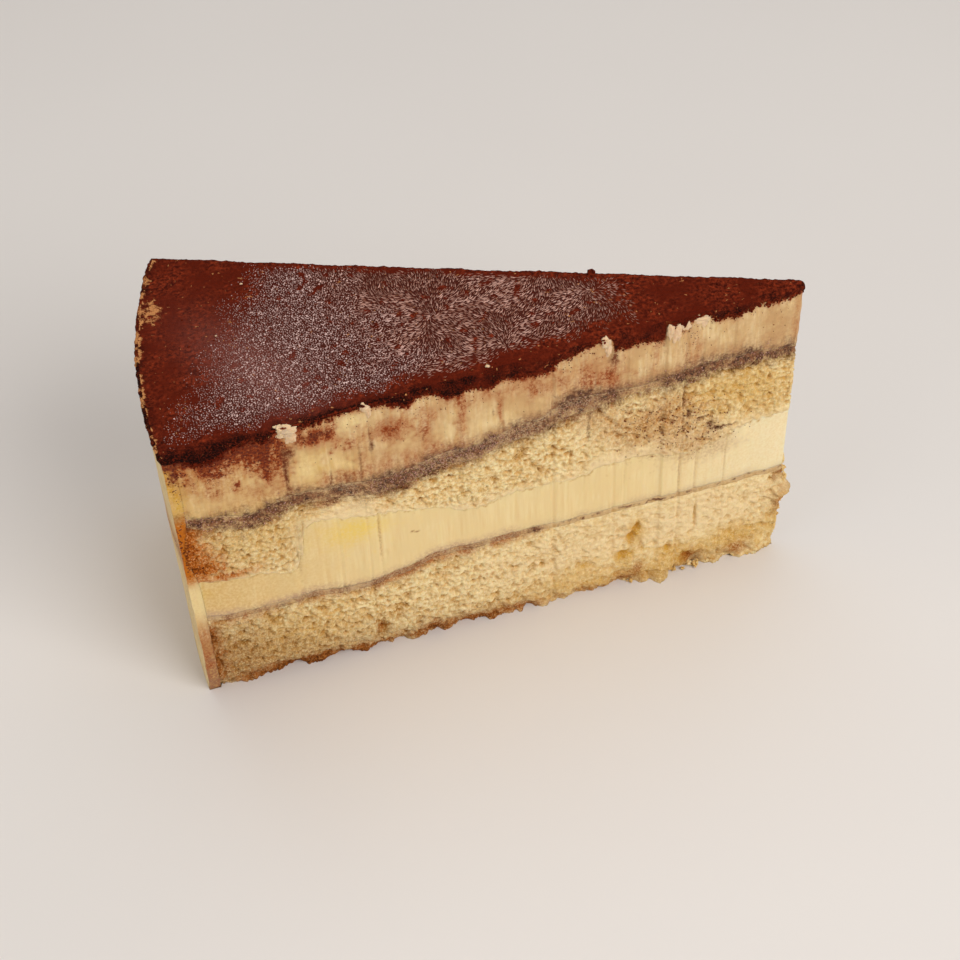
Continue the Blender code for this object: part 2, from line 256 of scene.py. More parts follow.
def settled(height, low, high, reach=0.35):
    """From 0 at a layer's two borders to 1 inside it, so that neighbours meet flush."""
    return (1 - bell(height, low, reach)) * (1 - bell(height, high, reach))


def grid_faces(rows, columns, closed):
    """Four-sided faces of a grid stored row by row. closed joins its last column to its first."""
    number = np.arange(rows * columns).reshape(rows, columns)
    if closed:
        number = np.concatenate([number, number[:, :1]], 1)
    corners = [number[:-1, :-1], number[:-1, 1:], number[1:, 1:], number[1:, :-1]]
    return np.stack(corners, -1).reshape(-1, 4)


def make_piece(name, spots, smooth_faces, flat_faces, marks):
    """Makes an object from spots in mm, lists of face arrays, and a number per spot and mark."""
    mesh = bpy.data.meshes.new(name)
    faces = sum((group.tolist() for group in smooth_faces + flat_faces), [])
    mesh.from_pydata(((spots + SLICE_POINT) * MM).tolist(), [], faces)
    smooth = np.arange(len(faces)) < sum(len(group) for group in smooth_faces)
    mesh.polygons.foreach_set("use_smooth", smooth)
    for mark, values in marks.items():
        held = mesh.attributes.new(mark, "FLOAT", "POINT")
        held.data.foreach_set("value", np.asarray(values, np.float32))
    mesh.update()
    piece = bpy.data.objects.new(name, mesh)
    bpy.context.scene.collection.objects.link(piece)
    return piece


def layer_walls(low, high, rows):
    """A layer's edge as a grid of spots before relief, their distance from the point and height."""
    rise = np.linspace(0, 1, rows)[:, None]
    height = low + (high - low) * rise
    flat = np.stack([edge.places(row) for row in height])
    walls = np.concatenate([flat, height[..., None]], -1)
    return walls, np.hypot(flat[..., 0], flat[..., 1]), height


MIDDLE = np.array([-72.0, 0.0])      # about the middle of the slice, seen from above


def make_layer(name, walls, relief, marks):
    """A closed layer: its edge moved outwards by the relief, and a cap below and above.

    A cap is a strip of faces in to a smoother ring, and a fan from there to the middle.
    """
    rows, columns = relief.shape
    spots = walls.copy()
    spots[..., :2] += edge.normal * np.where(edge.on_rim, 0, relief)[..., None]
    rings, centres = [], []
    for row in (0, rows - 1):
        ring = walls[row].copy()
        ring[:, :2] = MIDDLE + (ring[:, :2] - MIDDLE) * (0.94, 0.35)
        rings.append(ring)
        centres.append([[*MIDDLE, ring[:, 2].mean()]])
    everything = np.concatenate([spots.reshape(-1, 3), *rings, *centres])
    number = np.arange(rows * columns).reshape(rows, columns)
    caps = []
    for index, row in enumerate((0, rows - 1)):
        ring = rows * columns + index * columns + np.arange(columns)
        centre = np.full(columns, rows * columns + 2 * columns + index)
        outer, inner = number[row], ring
        strip = np.stack([outer, inner, np.roll(inner, -1), np.roll(outer, -1)], -1)
        fan = np.stack([inner, centre, np.roll(inner, -1)], -1)
        caps += [strip, fan] if index == 0 else [strip[:, ::-1], fan[:, ::-1]]
    filled = {}
    for mark, values in marks.items():
        values = np.broadcast_to(values, relief.shape)
        filled[mark] = np.concatenate([values.ravel(), values[0], values[-1],
                                       [values[0].mean(), values[-1].mean()]])
    return make_piece(name, everything, [grid_faces(rows, columns, True)], caps, filled)


def blots(distance, height, table, seed):
    """How strongly soft spots colour a cut, from 0 to 1.

    Each row is (distance, height, half width, half height, strength), a bell
    whose outline is pushed about by noise. They overlap like thin washes.
    """
    ground = np.stack([distance, np.zeros_like(distance), height], -1)
    ragged = rough(ground, seed, (0.35, 2.6), (0.3, 1.0))
    bare = np.ones_like(distance)
    for place, middle, wide, tall, strength in table:
        far = ((distance - place) / wide) ** 2 + ((height - middle) / tall) ** 2
        blot = np.exp(-far * (1 + ragged) ** 2 + 0.4 * ragged * (far < 4))
        bare = bare * (1 - strength * blot.clip(0, 1))
    return 1 - bare


# Heights of the seam as (distance from the point, height), drawn along the front cut.
LOWER_SEAM = ((0, 22.6), (30, 22.8), (55, 23), (72, 23.1), (80, 21), (88, 19.6), (97, 21.2),
              (104, 20.6), (112, 21), (120, 22.4))
LOWER_SEAM_THICKNESS = 1.3
# How far the torn foot stands out of each cut, negative where crumbs broke away.
FOOT_FRONT = ((0, -0.6), (4.5, 1.6), (7.5, 1.1), (10, 0.1), (13, 0.7), (18, -1.4), (20, -0.6),
              (23, 0.2), (26.5, 2.2), (29, 1.2), (33, -1.4), (38, 0.3), (43, -0.8), (50, 0.4),
              (60, -1), (85, -1), (100, -1.9), (120, -1.4))
FOOT_BACK = ((0, -0.4), (12, 0.8), (22, -1.6), (40, -0.5), (75, -1.2), (120, -0.8))
FOOT_HEIGHT = 5.0
CHUNK = 1.6                          # how far the hanging chunk stands out ...
CHUNK_HEIGHT = 15.5                  # ... and where
CHUNK_SPREAD = 2.6


def seam_ripple(seed):
    """How unevenly a seam runs: three sizes of wave along the outline."""
    return rough(at_zero(edge.place), seed, (0.26, 6.0), (0.16, 2.2), (0.10, 0.8))


lower_seam = knotted_curve(edge.distance, LOWER_SEAM) + seam_ripple(31)
lower_seam_under = lower_seam - LOWER_SEAM_THICKNESS / 2
lower_seam_over = lower_seam + LOWER_SEAM_THICKNESS / 2 + 0.5 * seam_ripple(35)

walls, distance, height = layer_walls(np.zeros_like(lower_seam), lower_seam_under, 100)
openness = knotted_curve(distance, ((0, 0.7), (12, 0.4), (36, 0.42), (60, 0.75), (85, 0.95), (120, 1)))
inner = settled(height, -9, lower_seam_under)        # -9: the base has no neighbour to meet
crumb = torn_crumb(walls, 41) * openness * inner
lumps = rough(walls, 45, (0.18, 4.0), (0.17, 1.3), (0.06, 0.5)) * inner
foot = np.where(edge.side < 0, knotted_curve(distance, FOOT_FRONT),
                knotted_curve(distance, FOOT_BACK))
foot += 1.5 * noise(walls, 4.2, 48) + 0.5 * noise(walls, 1.9, 50) + 0.18 * noise(walls, 0.8, 52)
foot = (foot - 0.3) * (1 - height / FOOT_HEIGHT).clip(0, 1)
half_width = POINT_WIDTH / 2 + distance * np.sin(HALF_ANGLE)
nose = bell(distance, 0, 1.6) * (0.7 + noise(walls, 1.6, 49) + 0.8 * noise(walls, 0.7, 54))
chunk = CHUNK * bell(height, CHUNK_HEIGHT, CHUNK_SPREAD) * nose
CREVICES = ((31, 15.9, 0.8, 1.3, 1), (32.2, 13.3, 0.7, 1.4, 1), (33.8, 8.8, 1.2, 1.1, 0.9),
            (24.4, 8, 0.9, 0.9, 0.7), (84.4, 6, 0.9, 1.6, 0.8), (90, 16.3, 0.5, 0.8, 0.7),
            (20.3, 3.6, 1.2, 1.6, 0.9), (61, 7, 1, 0.8, 0.5), (42, 8.5, 1.4, 0.9, 0.5),
            (112.5, 12.6, 1.6, 0.4, 0.7), (51, 12, 0.9, 0.5, 0.6), (18.6, 16, 0.3, 3.2, 0.6))
crevice = np.where(edge.side < 0, blots(distance, height, CREVICES, 51), 0)
relief = (knife_path(distance, edge.side) + lumps - crumb + foot + chunk - 1.5 * crevice
          + 0.2 * inner)
relief = np.maximum(relief, -0.55 * half_width)      # the thin point is never cut through
BASE_CRUST = ((105, 0.8, 9, 1.8, 1), (98, 1, 4, 2.3, 1), (74, 1.4, 4, 2, 0.9), (64, 0.8, 8, 1.7, 0.9),
              (88, 0.6, 6, 1.7, 0.95), (40, 0.8, 6, 1.2, 0.5), (54, 0.8, 4, 1.5, 0.6),
              (33, 1.5, 3, 1.6, 0.6), (19, 3.2, 2, 1.6, 0.7), (9, 2.8, 2.5, 1.5, 0.6),
              (118, 16.5, 2, 3.6, 1), (118.5, 8, 2.4, 6, 0.9), (84.5, 6.3, 0.9, 1.5, 0.8),
              (30.6, 4, 1.2, 1.5, 0.6), (110, 2.5, 6, 2, 0.4), (0.3, 13, 1.2, 3, 0.6),
              (0.3, 21.5, 1, 1.2, 0.8))
crust = blots(distance, height, BASE_CRUST, 53)
# Painted shadow: the sponge darkened at its rim end and along its foot, where shade falls.
shade = blots(distance, height, ((114, 8, 12, 12, 0.9), (98, 3, 16, 7, 0.65), (20, 1.5, 12, 2.5, 0.5),
                                 (75, 2, 24, 4, 0.5)), 55)
honey = blots(distance, height, ((31, 15, 2, 4.5, 0.9), (33, 8, 2.5, 2.5, 0.9), (24, 6.5, 4, 2.5, 0.8),
                                 (10, 6, 10, 4, 0.95), (19.5, 4, 2.5, 2, 0.9), (45, 6, 8, 4, 0.6),
                                 (0, 10, 2.5, 7, 0.8), (104, 10, 16, 9, 0.6), (28, 2.5, 14, 3, 0.85),
                                 (55, 3, 14, 2.5, 0.4)), 56)
# Painted shade: the crevices are also coloured deep amber, besides the real golden patches.
honey = (honey + crevice).clip(0, 1.3)


def lower_frozen(distance, height, side):
    """How brown the lower coffee left a cut: a soft band about the seam, in dashes."""
    middle = knotted_curve(distance, LOWER_SEAM)
    walk = np.stack([distance, side * 9 + 0 * distance, 0 * distance], -1)
    broken = knotted_curve(distance, ((0, 2.2), (45, 1.8), (62, 1.1), (120, 1.3)))
    dashes = (0.6 + broken * (0.7 * noise(walk, 3.2, 58) + 0.5 * noise(walk, 1.1, 59))).clip(0, 1.2)
    bare = blots(distance, height, ((17.0, 22.6, 3.2, 2.0, 0.9), (8.0, 23.6, 3.0, 0.6, 0.4)), 65)
    wander = 0.5 * wave(distance + 200 * side, 2.0, 67) + 0.3 * wave(distance, 0.7, 68)
    wide = knotted_curve(distance, ((0, 0.26), (30, 0.3), (45, 0.5), (60, 1.4), (120, 1.4)))
    strength = knotted_curve(distance, ((0, 0.95), (50, 0.9), (60, 0.42), (120, 0.42)))
    band = bell(height - middle, wander, wide)
    return (strength * dashes * (1 - bare) * band).clip(0, 1)


def lower_soaked(distance, height):
    """How far the lower coffee spread as a paler stain: thin near the point, broad past it."""
    reach = knotted_curve(distance, ((0, 1), (45, 1.2), (62, 2)))
    strength = knotted_curve(distance, ((0, 0.2), (45, 0.25), (60, 0.85), (80, 0.85), (120, 0.75)))
    broken = 1 + 0.8 * wave(distance, 4.0, 63) + 0.5 * wave(distance, 1.3, 64)
    return (strength * broken.clip(0.3, 1.3)
            * bell(height, knotted_curve(distance, LOWER_SEAM), reach))


lower_sponge = make_layer("lower_sponge", walls, relief, {
    # Painted shade: the pores and crevices of the crumb coloured darker gold.
    "hollow_shade": (0.85 * crumb - lumps + 0.9 * crevice).clip(0, 1),
    "toasted": crust,
    # Painted shadow at the rim end and along the foot.
    "shade_and_soak": shade,
    "brown": 1.2 * lower_soaked(distance, height),
    "frozen": lower_frozen(distance, height, edge.side),
    "specks": 0.3 * crust,
    "honey": honey,
    "creamed": blots(distance, height, ((16.5, 19.5, 2.2, 3, 0.7), (21, 20.5, 1.5, 2, 0.5),
                                        (18, 15, 28, 8, 0.85), (48, 14, 24, 9, 0.5)), 57),
})


def linear(code, alpha=1.0):
    """An sRGB hex colour as linear red, green, blue and alpha."""
    parts = [int(code[at:at + 2], 16) / 255 for at in (1, 3, 5)]
    return [c / 12.92 if c <= 0.04045 else ((c + 0.055) / 1.055) ** 2.4 for c in parts] + [alpha]


def add(tree, kind, inputs, **settings):
    """Adds a node and returns its outputs.

    settings are the node's properties, and inputs maps a socket's name or
    number to a value or to the output that feeds it.
    """
    made = tree.nodes.new(kind)
    for name, value in settings.items():
        setattr(made, name, value)
    for name, value in inputs.items():
        if isinstance(value, bpy.types.NodeSocket):
            tree.links.new(value, made.inputs[name])
        else:
            made.inputs[name].default_value = value
    return made.outputs


def new_tree(name):
    """An empty material's node tree."""
    material = bpy.data.materials.new(name)
    material.use_nodes = True
    material.node_tree.nodes.clear()
    return material, material.node_tree


def surface(tree, sockets):
    """Ends a material: one shader with these sockets, joined to the output."""
    shader = add(tree, "ShaderNodeBsdfPrincipled", sockets)[0]
    add(tree, "ShaderNodeOutputMaterial", {"Surface": shader})


def uneven(tree, place, size, low, high, detail=3, roughness=0.5):
    """A cloudy pattern with patches about size mm wide, spread so that low to high gives 0 to 1."""
    cloudy = add(tree, "ShaderNodeTexNoise", {"Vector": place, "Scale": 1 / (size * MM),
                                              "Detail": detail, "Roughness": roughness})[0]
    return add(tree, "ShaderNodeMapRange", {0: cloudy, 1: low, 2: high})[0]


def speckled(tree, place, apart, edge_at):
    """Round specks about apart mm from each other: 0 past edge_at cells from a speck, 1 at 0.1."""
    cells = add(tree, "ShaderNodeTexVoronoi", {"Vector": place, "Scale": 1 / (apart * MM)})["Distance"]
    return add(tree, "ShaderNodeMapRange", {0: cells, 1: edge_at, 2: 0.1})[0]


def stain(tree, colour, grit, mark, tint, start=0.3, full=0.7, most=1.0):
    """Mixes a tint in where a mark times (grit + 0.5) passes from start to full."""
    amount = add(tree, "ShaderNodeAttribute", {}, attribute_name=mark)["Fac"]
    share = add(tree, "ShaderNodeMath", {0: grit, 1: 0.5}, operation="ADD")[0]
    amount = add(tree, "ShaderNodeMath", {0: amount, 1: share}, operation="MULTIPLY")[0]
    amount = add(tree, "ShaderNodeMapRange", {0: amount, 1: start, 2: full, 4: most})[0]
    return add(tree, "ShaderNodeMix", {0: amount, 6: colour, 7: tint}, data_type="RGBA")[2]


# Sponge crumb: flour, egg and sugar baked to a matt, slightly see-through foam.
# The eye gets pale bubble walls, painted shade of deep gold in the hollows and crevices, painted shadow
# at the rim end and foot, and browned crust.
sponge_crumb, tree = new_tree("baked_sponge_crumb")
place = add(tree, "ShaderNodeTexCoord", {})["Object"]
drift = uneven(tree, place, 8, 0.4, 0.62)
grain = uneven(tree, place, 0.9, 0.4, 0.62, 5, 0.72)
fine = uneven(tree, place, 0.35, 0.33, 0.67, 3, 0.7)
colour = add(tree, "ShaderNodeMix", {0: drift, 6: linear("#e6c282"), 7: linear("#d8ab66")},
             data_type="RGBA")[2]
colour = add(tree, "ShaderNodeMix", {0: grain, 6: linear("#f9e4b0"), 7: colour},
             data_type="RGBA")[2]
# The hollow tints paint shade into the pores; the soak tint paints shadow, and on the upper sponge also
# coffee soak.
for mark, tint, start, full in (("creamed", "#f0d4a2", 0.0, 1.0), ("hollow_shade", "#c18d3f", 0.1, 1.0),
                                ("hollow_shade", "#85551c", 0.7, 1.5), ("honey", "#cf9d3e", 0.1, 1.4),
                                ("shade_and_soak", "#8a5012", 0.0, 1.5), ("brown", "#b0703f", 0.1, 1.2),
                                ("toasted", "#985312", 0.0, 0.8), ("toasted", "#4f2a0b", 0.75, 1.35),
                                ("crust", "#ba6000", 0.0, 0.85), ("crust", "#541e06", 0.78, 1.3)):
    colour = stain(tree, colour, fine, mark, linear(tint), start, full)
FROZEN_CRUMB = linear("#85502e")
FROZEN_PORES = linear("#3f200e")
dark = add(tree, "ShaderNodeMix", {0: grain, 6: FROZEN_CRUMB, 7: FROZEN_PORES}, data_type="RGBA")[2]
colour = stain(tree, colour, fine, "frozen", dark, 0.15, 0.95)
dots = speckled(tree, place, 0.55, 0.45)
colour = stain(tree, colour, dots, "specks", linear("#552009"), 0.5, 0.7)
bump = add(tree, "ShaderNodeBump", {"Height": fine, "Strength": 0.5, "Distance": 0.12 * MM})[0]
surface(tree, {
    "Base Color": colour, "Roughness": 0.85, "Normal": bump, "Specular IOR Level": 0.2,
    "Subsurface Weight": 0.15, "Subsurface Radius": (1.0, 0.6, 0.3), "Subsurface Scale": 0.6 * MM})

lower_sponge.data.materials.append(sponge_crumb)
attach(lower_sponge, "root")
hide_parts("sponge_bottom")


# ------------------------------------------------------------------ lower coffee seam
# Coffee syrup brushed on the lower sponge soaked its uppermost crumb. At the cut
# it is a thin, broken brown line with pale cream smeared across it by the knife.

SEAM_ROWS = 8
walls, distance, height = layer_walls(lower_seam_under + TOUCH, lower_seam_over - TOUCH, SEAM_ROWS)
grit = rough(walls, 61, (0.16, 1.2), (0.08, 0.5))
rise = np.linspace(0, 1, SEAM_ROWS)[:, None]
lower_coffee_seam = make_layer("lower_coffee_seam", walls,
                               knife_path(distance, edge.side) + grit * np.sin(np.pi * rise), {
    "frozen": lower_frozen(distance, height, edge.side),
    "soaked": lower_soaked(distance, height),
    "frosted": (0.7 + 0.6 * noise(walls, 3.0, 64)).clip(0, 1)
               * knotted_curve(distance, ((0, 0.2), (45, 0.3), (62, 1))),
    "creamy": (rise + 0.8 * noise(walls, 1.0, 66)).clip(0, 1),
})

# Coffee-soaked crumb: sponge darkened by syrup, part frozen. The eye gets wet
# brown grit, near-black where the syrup pooled, and a greyish bloom of frost.
soaked_crumb, tree = new_tree("coffee_soaked_crumb_frosted")
place = add(tree, "ShaderNodeTexCoord", {})["Object"]
grain = uneven(tree, place, 0.9, 0.4, 0.62, 5, 0.7)
fine = uneven(tree, place, 0.4, 0.33, 0.67, 3, 0.6)
glint = uneven(tree, place, 0.3, 0.45, 0.6, 1)
colour = add(tree, "ShaderNodeMix", {0: grain, 6: linear("#e4c48c"), 7: linear("#cfa466")},
             data_type="RGBA")[2]
colour = stain(tree, colour, fine, "creamy", linear("#e0bf8c"), 0.0, 1.0)
colour = stain(tree, colour, fine, "soaked", linear("#9c6439"), 0.0, 1.2)
dark = add(tree, "ShaderNodeMix", {0: grain, 6: FROZEN_CRUMB, 7: FROZEN_PORES}, data_type="RGBA")[2]
colour = stain(tree, colour, fine, "frozen", dark, 0.15, 0.95)
colour = stain(tree, colour, glint, "frosted", linear("#c6a884"), 0.6, 1.3, 0.6)
bump = add(tree, "ShaderNodeBump", {"Height": fine, "Strength": 0.7, "Distance": 0.15 * MM})[0]
surface(tree, {
    "Base Color": colour, "Roughness": 0.6, "Normal": bump, "Specular IOR Level": 0.35,
    "Subsurface Weight": 0.1, "Subsurface Radius": (1.0, 0.6, 0.4), "Subsurface Scale": 0.6 * MM})

lower_coffee_seam.data.materials.append(soaked_crumb)
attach(lower_coffee_seam, "root")
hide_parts("coffee_lower")


# ------------------------------------------------------------------ middle cream
# Mascarpone cream spread on the lower sponge and chilled firm. The knife left it
# smooth, with fine upright drag lines and a smear of coffee crumbs from above.

MIDDLE_CREAM_FRONT = ((0, 37.9), (9, 37.5), (14.5, 35.2), (20, 33.9), (32, 35.8), (38, 35.7),
                      (44, 34.4), (55, 34.6), (66, 33.5), (72, 36.2), (82.6, 38.5), (94, 40.2),
                      (95.4, 39.8), (99.8, 28.9), (110, 30.8), (120, 32.6))
MIDDLE_CREAM_BACK = ((0, 37.9), (25, 34.8), (60, 36.2), (95, 33.4), (120, 32.6))

back_share = (edge.side + 1) / 2
crumbly = edge.distance + 0.7 * wave(edge.distance, 1.6, 70) + 0.5 * wave(edge.distance, 0.6, 69)
torn_border = (1.2 * seam_ripple(71) + 0.5 * wave(edge.distance, 0.9, 72)) * (1 - edge.on_rim)
middle_cream_over = ((1 - back_share) * knotted_curve(crumbly, MIDDLE_CREAM_FRONT)
                     + back_share * knotted_curve(edge.distance, MIDDLE_CREAM_BACK) + torn_border)
walls, distance, height = layer_walls(lower_seam_over, middle_cream_over - TOUCH, 42)
drag = rough(walls, 73, (0.025, (0.7, 0.7, 16)), (0.012, (0.35, 0.35, 9)))
dimples = 0.25 * pores(walls * (1, 1, 0.6), 5.0, 0.0, 0.7, 75)
SMEAR = ((34, 44, 8, 5, 0.45), (24, 42, 8, 6, 0.52), (26, 47.5, 5, 4, 0.4), (20, 36, 8, 4.5, 0.34),
         (40, 49, 6, 3, 0.4), (15, 33.5, 6, 3, 0.3))


def smear(distance, height):
    """Coffee-brown crumbs dragged down the cut from the upper sponge into the cream."""
    return blots(distance, height, SMEAR, 77)


KNIFE_STAINS = ((83.2, 33, 0.3, 9, 0.5), (98.9, 31, 0.4, 5, 0.35), (22.6, 30, 0.28, 8, 0.45),
                (19.2, 28, 0.3, 6, 0.3), (13, 29, 0.25, 7, 0.35), (34, 31, 0.25, 4, 0.2))
FIBRE = ((76.9, 31.3, 0.5, 0.22, 1.0), (75.9, 31.0, 0.5, 0.22, 1.0))
front = np.where(edge.side < 0, 1.0, 0.5)            # the back cut is stained less
under_sponge = bell(height, middle_cream_over, 0.7)
inner = settled(height, lower_seam_over, middle_cream_over)
middle_cream = make_layer("middle_cream", walls,
                          knife_path(distance, edge.side) + (drag - dimples) * inner, {
    "brown": smear(distance, height) * front,
    "yolk": blots(distance, height, ((88.0, 35.6, 5.5, 3.2, 0.9), (119.0, 29.0, 3.0, 2.0, 0.6)), 79),
    "streaked": (blots(distance, height, KNIFE_STAINS, 80)
                 + blots(distance, height, FIBRE, 82)) * front,
    "dirt": (smear(distance, height) * front) ** 1.5,
    "crumbed": under_sponge * (0.5 + 1.2 * noise(walls, 1.4, 83)).clip(0, 1),
    "hazed": (0.8 + 0.6 * noise(walls, 5.0, 78)).clip(0, 1)
             * bell(height, lower_seam_over, 1.6)
             * knotted_curve(distance, ((0, 0.5), (50, 0.6), (60, 1), (120, 1))),
    "frozen": lower_frozen(distance, height, edge.side),
    # Painted shade darker towards the rim end, and painted light paler towards the point.
    "shade_and_soak": ((distance - 85) / 40).clip(0, 1),
    "pale": ((32 - distance) / 32).clip(0, 1),
})

# Whipped mascarpone cream: fat and egg yolk, satin and deeply lit from within.
# The eye gets a soft pale yellow with upright knife streaks and a few stains, painted shade towards the
# rim and painted light towards the point.
cream, tree = new_tree("chilled_mascarpone_cream")
place = add(tree, "ShaderNodeTexCoord", {})["Object"]
upright = add(tree, "ShaderNodeMapping", {"Vector": place, "Scale": (1, 1, 0.07)})[0]
streak = uneven(tree, upright, 0.7, 0.35, 0.7)
cloud = uneven(tree, place, 6, 0.42, 0.6)
fine = uneven(tree, place, 0.5, 0.33, 0.67)
colour = add(tree, "ShaderNodeMix", {0: streak, 6: linear("#f0d79f"), 7: linear("#e8c98e")},
             data_type="RGBA")[2]
colour = add(tree, "ShaderNodeMix", {0: cloud, 6: colour, 7: linear("#ebcf95")},
             data_type="RGBA")[2]
# The soak tint paints shade towards the rim, and the pale tint paints light towards the point.
for mark, tint, start, full in (("yolk", "#efce6e", 0.0, 1.0), ("shade_and_soak", "#cf9f52", 0.0, 1.6),
                                ("pale", "#f5e2b6", 0.0, 1.2), ("crumbed", "#d2a868", 0.3, 1.1),
                                ("brown", "#a8703f", 0.1, 1.1), ("hazed", "#c9a27e", 0.1, 1.2),
                                ("streaked", "#a06b34", 0.1, 1.1), ("frozen", "#75492d", 0.15, 1.0)):
    colour = stain(tree, colour, fine, mark, linear(tint), start, full)
dots = speckled(tree, place, 0.6, 0.4)
colour = stain(tree, colour, dots, "dirt", linear("#4a240f"), 0.45, 0.6)
lines = add(tree, "ShaderNodeMath", {0: streak, 1: fine}, operation="ADD")[0]
bump = add(tree, "ShaderNodeBump", {"Height": lines, "Strength": 0.15, "Distance": 0.08 * MM})[0]
surface(tree, {
    "Base Color": colour, "Roughness": 0.5, "Normal": bump, "Specular IOR Level": 0.3,
    "Subsurface Weight": 0.3, "Subsurface Radius": (1.0, 0.7, 0.4), "Subsurface Scale": 1.6 * MM})

middle_cream.data.materials.append(cream)
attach(middle_cream, "root")
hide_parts("cream_middle")


# ------------------------------------------------------------------ upper sponge
# A second disc of the same sponge, its edge left browned from the tin. It is
# finer and yellower towards the point, and stained where coffee ran into it.

UPPER_SEAM = ((0, 54), (16, 55), (28, 53.6), (45, 53.1), (52, 50.3), (66, 48), (82, 45.6), (90, 46.6),
              (97, 47.5), (106, 44.9), (113, 46.6), (120, 48.8))
UPPER_SEAM_THICKNESS = ((0, 2.2), (15, 2.4), (26, 2.2), (31, 1.3), (36, 2.4), (44, 4.2), (60, 3.2),
                        (82, 3.6), (97, 2.8), (106, 3.2), (115, 2.6), (120, 2))

upper_seam = knotted_curve(edge.distance, UPPER_SEAM) + seam_ripple(81)
upper_seam_half = knotted_curve(edge.distance, UPPER_SEAM_THICKNESS) / 2
upper_seam_under = upper_seam - upper_seam_half + 0.6 * seam_ripple(83)
upper_seam_over = upper_seam + upper_seam_half + 0.6 * seam_ripple(86)

walls, distance, height = layer_walls(middle_cream_over, upper_seam_under - TOUCH, 74)
inner = settled(height, middle_cream_over, upper_seam_under)
crumb = 0.9 * torn_crumb(walls, 91) * inner
lumps = rough(walls, 95, (0.15, 3.6), (0.17, 1.2), (0.06, 0.5)) * inner
COFFEE_RUNS = ((92, 44.4, 2.4, 1, 1), (103.5, 43.2, 3, 0.9, 0.6), (82.3, 43.4, 1.2, 1.4, 0.6),
               (69.5, 45.8, 4, 0.9, 0.8), (76.5, 43.8, 2, 0.9, 0.7), (57, 48.6, 3, 0.8, 0.6),
               (46, 50.3, 3, 0.8, 0.5))
brown = (smear(distance, height) * front + blots(distance, height, COFFEE_RUNS, 92)).clip(0, 1)
creamed = blots(distance, height, ((88.5, 40.8, 7.5, 3.6, 1), (34, 36.5, 10, 3.4, 0.9),
                                   (12, 38, 9, 2.6, 0.6), (97.8, 34.5, 2, 6, 0.9),
                                   (60, 34.5, 20, 1.3, 0.4), (42, 47, 4, 5, 0.4)), 98)
near_cream = bell(height, middle_cream_over, 1.2)
creamed = (creamed + 0.9 * near_cream * (0.5 + 1.6 * noise(walls, 1.5, 94)).clip(0, 1)).clip(0, 1)
pitting = 1 - 0.8 * creamed                          # smeared cream fills the bubbles
TIN_CRUST = ((119, 41.5, 2.8, 7, 1), (117.6, 35.5, 4, 2.2, 1), (112, 32.2, 5, 0.9, 0.7),
             (118.6, 47, 2.6, 3, 0.7), (115.5, 38.5, 2.5, 4, 0.35))
crust = blots(distance, height, TIN_CRUST, 99)


def upper_frozen(distance, height, side):
    """How dark the upper coffee left a cut: a soft band about the seam, with clots.

    The band's middle and half width follow knots along the cut, its border
    wanders, and it is broken into darker and paler lengths.
    """
    middle = knotted_curve(distance, UPPER_SEAM)
    wide = knotted_curve(distance, UPPER_SEAM_THICKNESS) * 0.74 + 0.7
    walk = np.stack([distance, side * 9 + 0 * distance, height], -1)
    wander = rough(walk, 87, (0.8, 3.0), (0.6, 1.1))
    body = knotted_curve(distance, ((0, 1), (30, 0.9), (45, 0.72), (120, 0.72)))
    body = body + 0.4 * noise(walk, 4.0, 89) + 0.5 * noise(walk, 1.2, 90)
    body = body * bell(height - middle, wander, wide)
    clots = blots(distance, height, ((43.5, 54.6, 2.6, 1.6, 0.9), (37.2, 53.4, 1, 1.6, 1),
                                     (24, 54.8, 8, 1, 0.6), (75, 46.4, 7, 1.8, 0.7),
                                     (106, 45, 3, 1.8, 0.8), (89.7, 46.6, 1.3, 1.1, 1),
                                     (62, 48.6, 5, 1.4, 0.5)), 103)
    bare = blots(distance, height, ((29, 53.8, 4, 1.2, 0.7), (33.5, 53, 2.5, 1.2, 0.6),
                                    (13.5, 55, 1, 1, 0.5)), 108)
    return ((body + 0.6 * clots) * (1 - bare)).clip(0, 1)


cracks = blots(distance, height, ((21.3, 43.9, 0.5, 1.3, 0.9), (19, 42, 1, 0.5, 0.8),
                                  (16.6, 39.8, 0.8, 0.9, 0.8), (15, 38.3, 0.9, 0.6, 1),
                                  (12.6, 38.5, 1.3, 0.3, 1), (22.4, 48, 0.3, 4, 0.5),
                                  (41.5, 46, 0.4, 3, 0.5)), 100)
under_seam = (0.6 * np.exp(-((upper_seam_under - height) / 2.2).clip(0, 9) ** 2)
              * (0.6 + noise(walls, 4.0, 84)).clip(0, 1))
upper_sponge = make_layer("upper_sponge", walls, knife_path(distance, edge.side) - 0.7 * cracks
                          + lumps - crumb * pitting + 0.15 * inner, {
    # Painted shade: the open pores coloured darker gold.
    "hollow_shade": ((0.85 * crumb - lumps) * pitting).clip(0, 1),
    "crust": crust,
    "brown": brown,
    # Darker towards the rim end, and coffee that bled in just under the upper seam.
    "shade_and_soak": (0.25 * ((distance - 95) / 25).clip(0, 1) + under_seam).clip(0, 1),
    "honey": blots(distance, height, ((12, 48, 11, 6, 0.75), (5, 43, 5, 6, 0.5), (30, 43, 6, 5, 0.4),
                                      (108, 40, 14, 9, 0.5)), 85),
    "frozen": (upper_frozen(distance, height, edge.side) + 1.3 * cracks).clip(0, 1),
    "specks": (0.8 * brown ** 1.5 + 0.6 * crust).clip(0, 1),
    "creamed": creamed,
})

upper_sponge.data.materials.append(sponge_crumb)
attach(upper_sponge, "root")
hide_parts("sponge_middle")


# ------------------------------------------------------------------ upper coffee seam
# Under the top cream the sponge was soaked far deeper. It froze grey-brown and
# gritty, darkest in two clots, with cream dragged over it near the point.

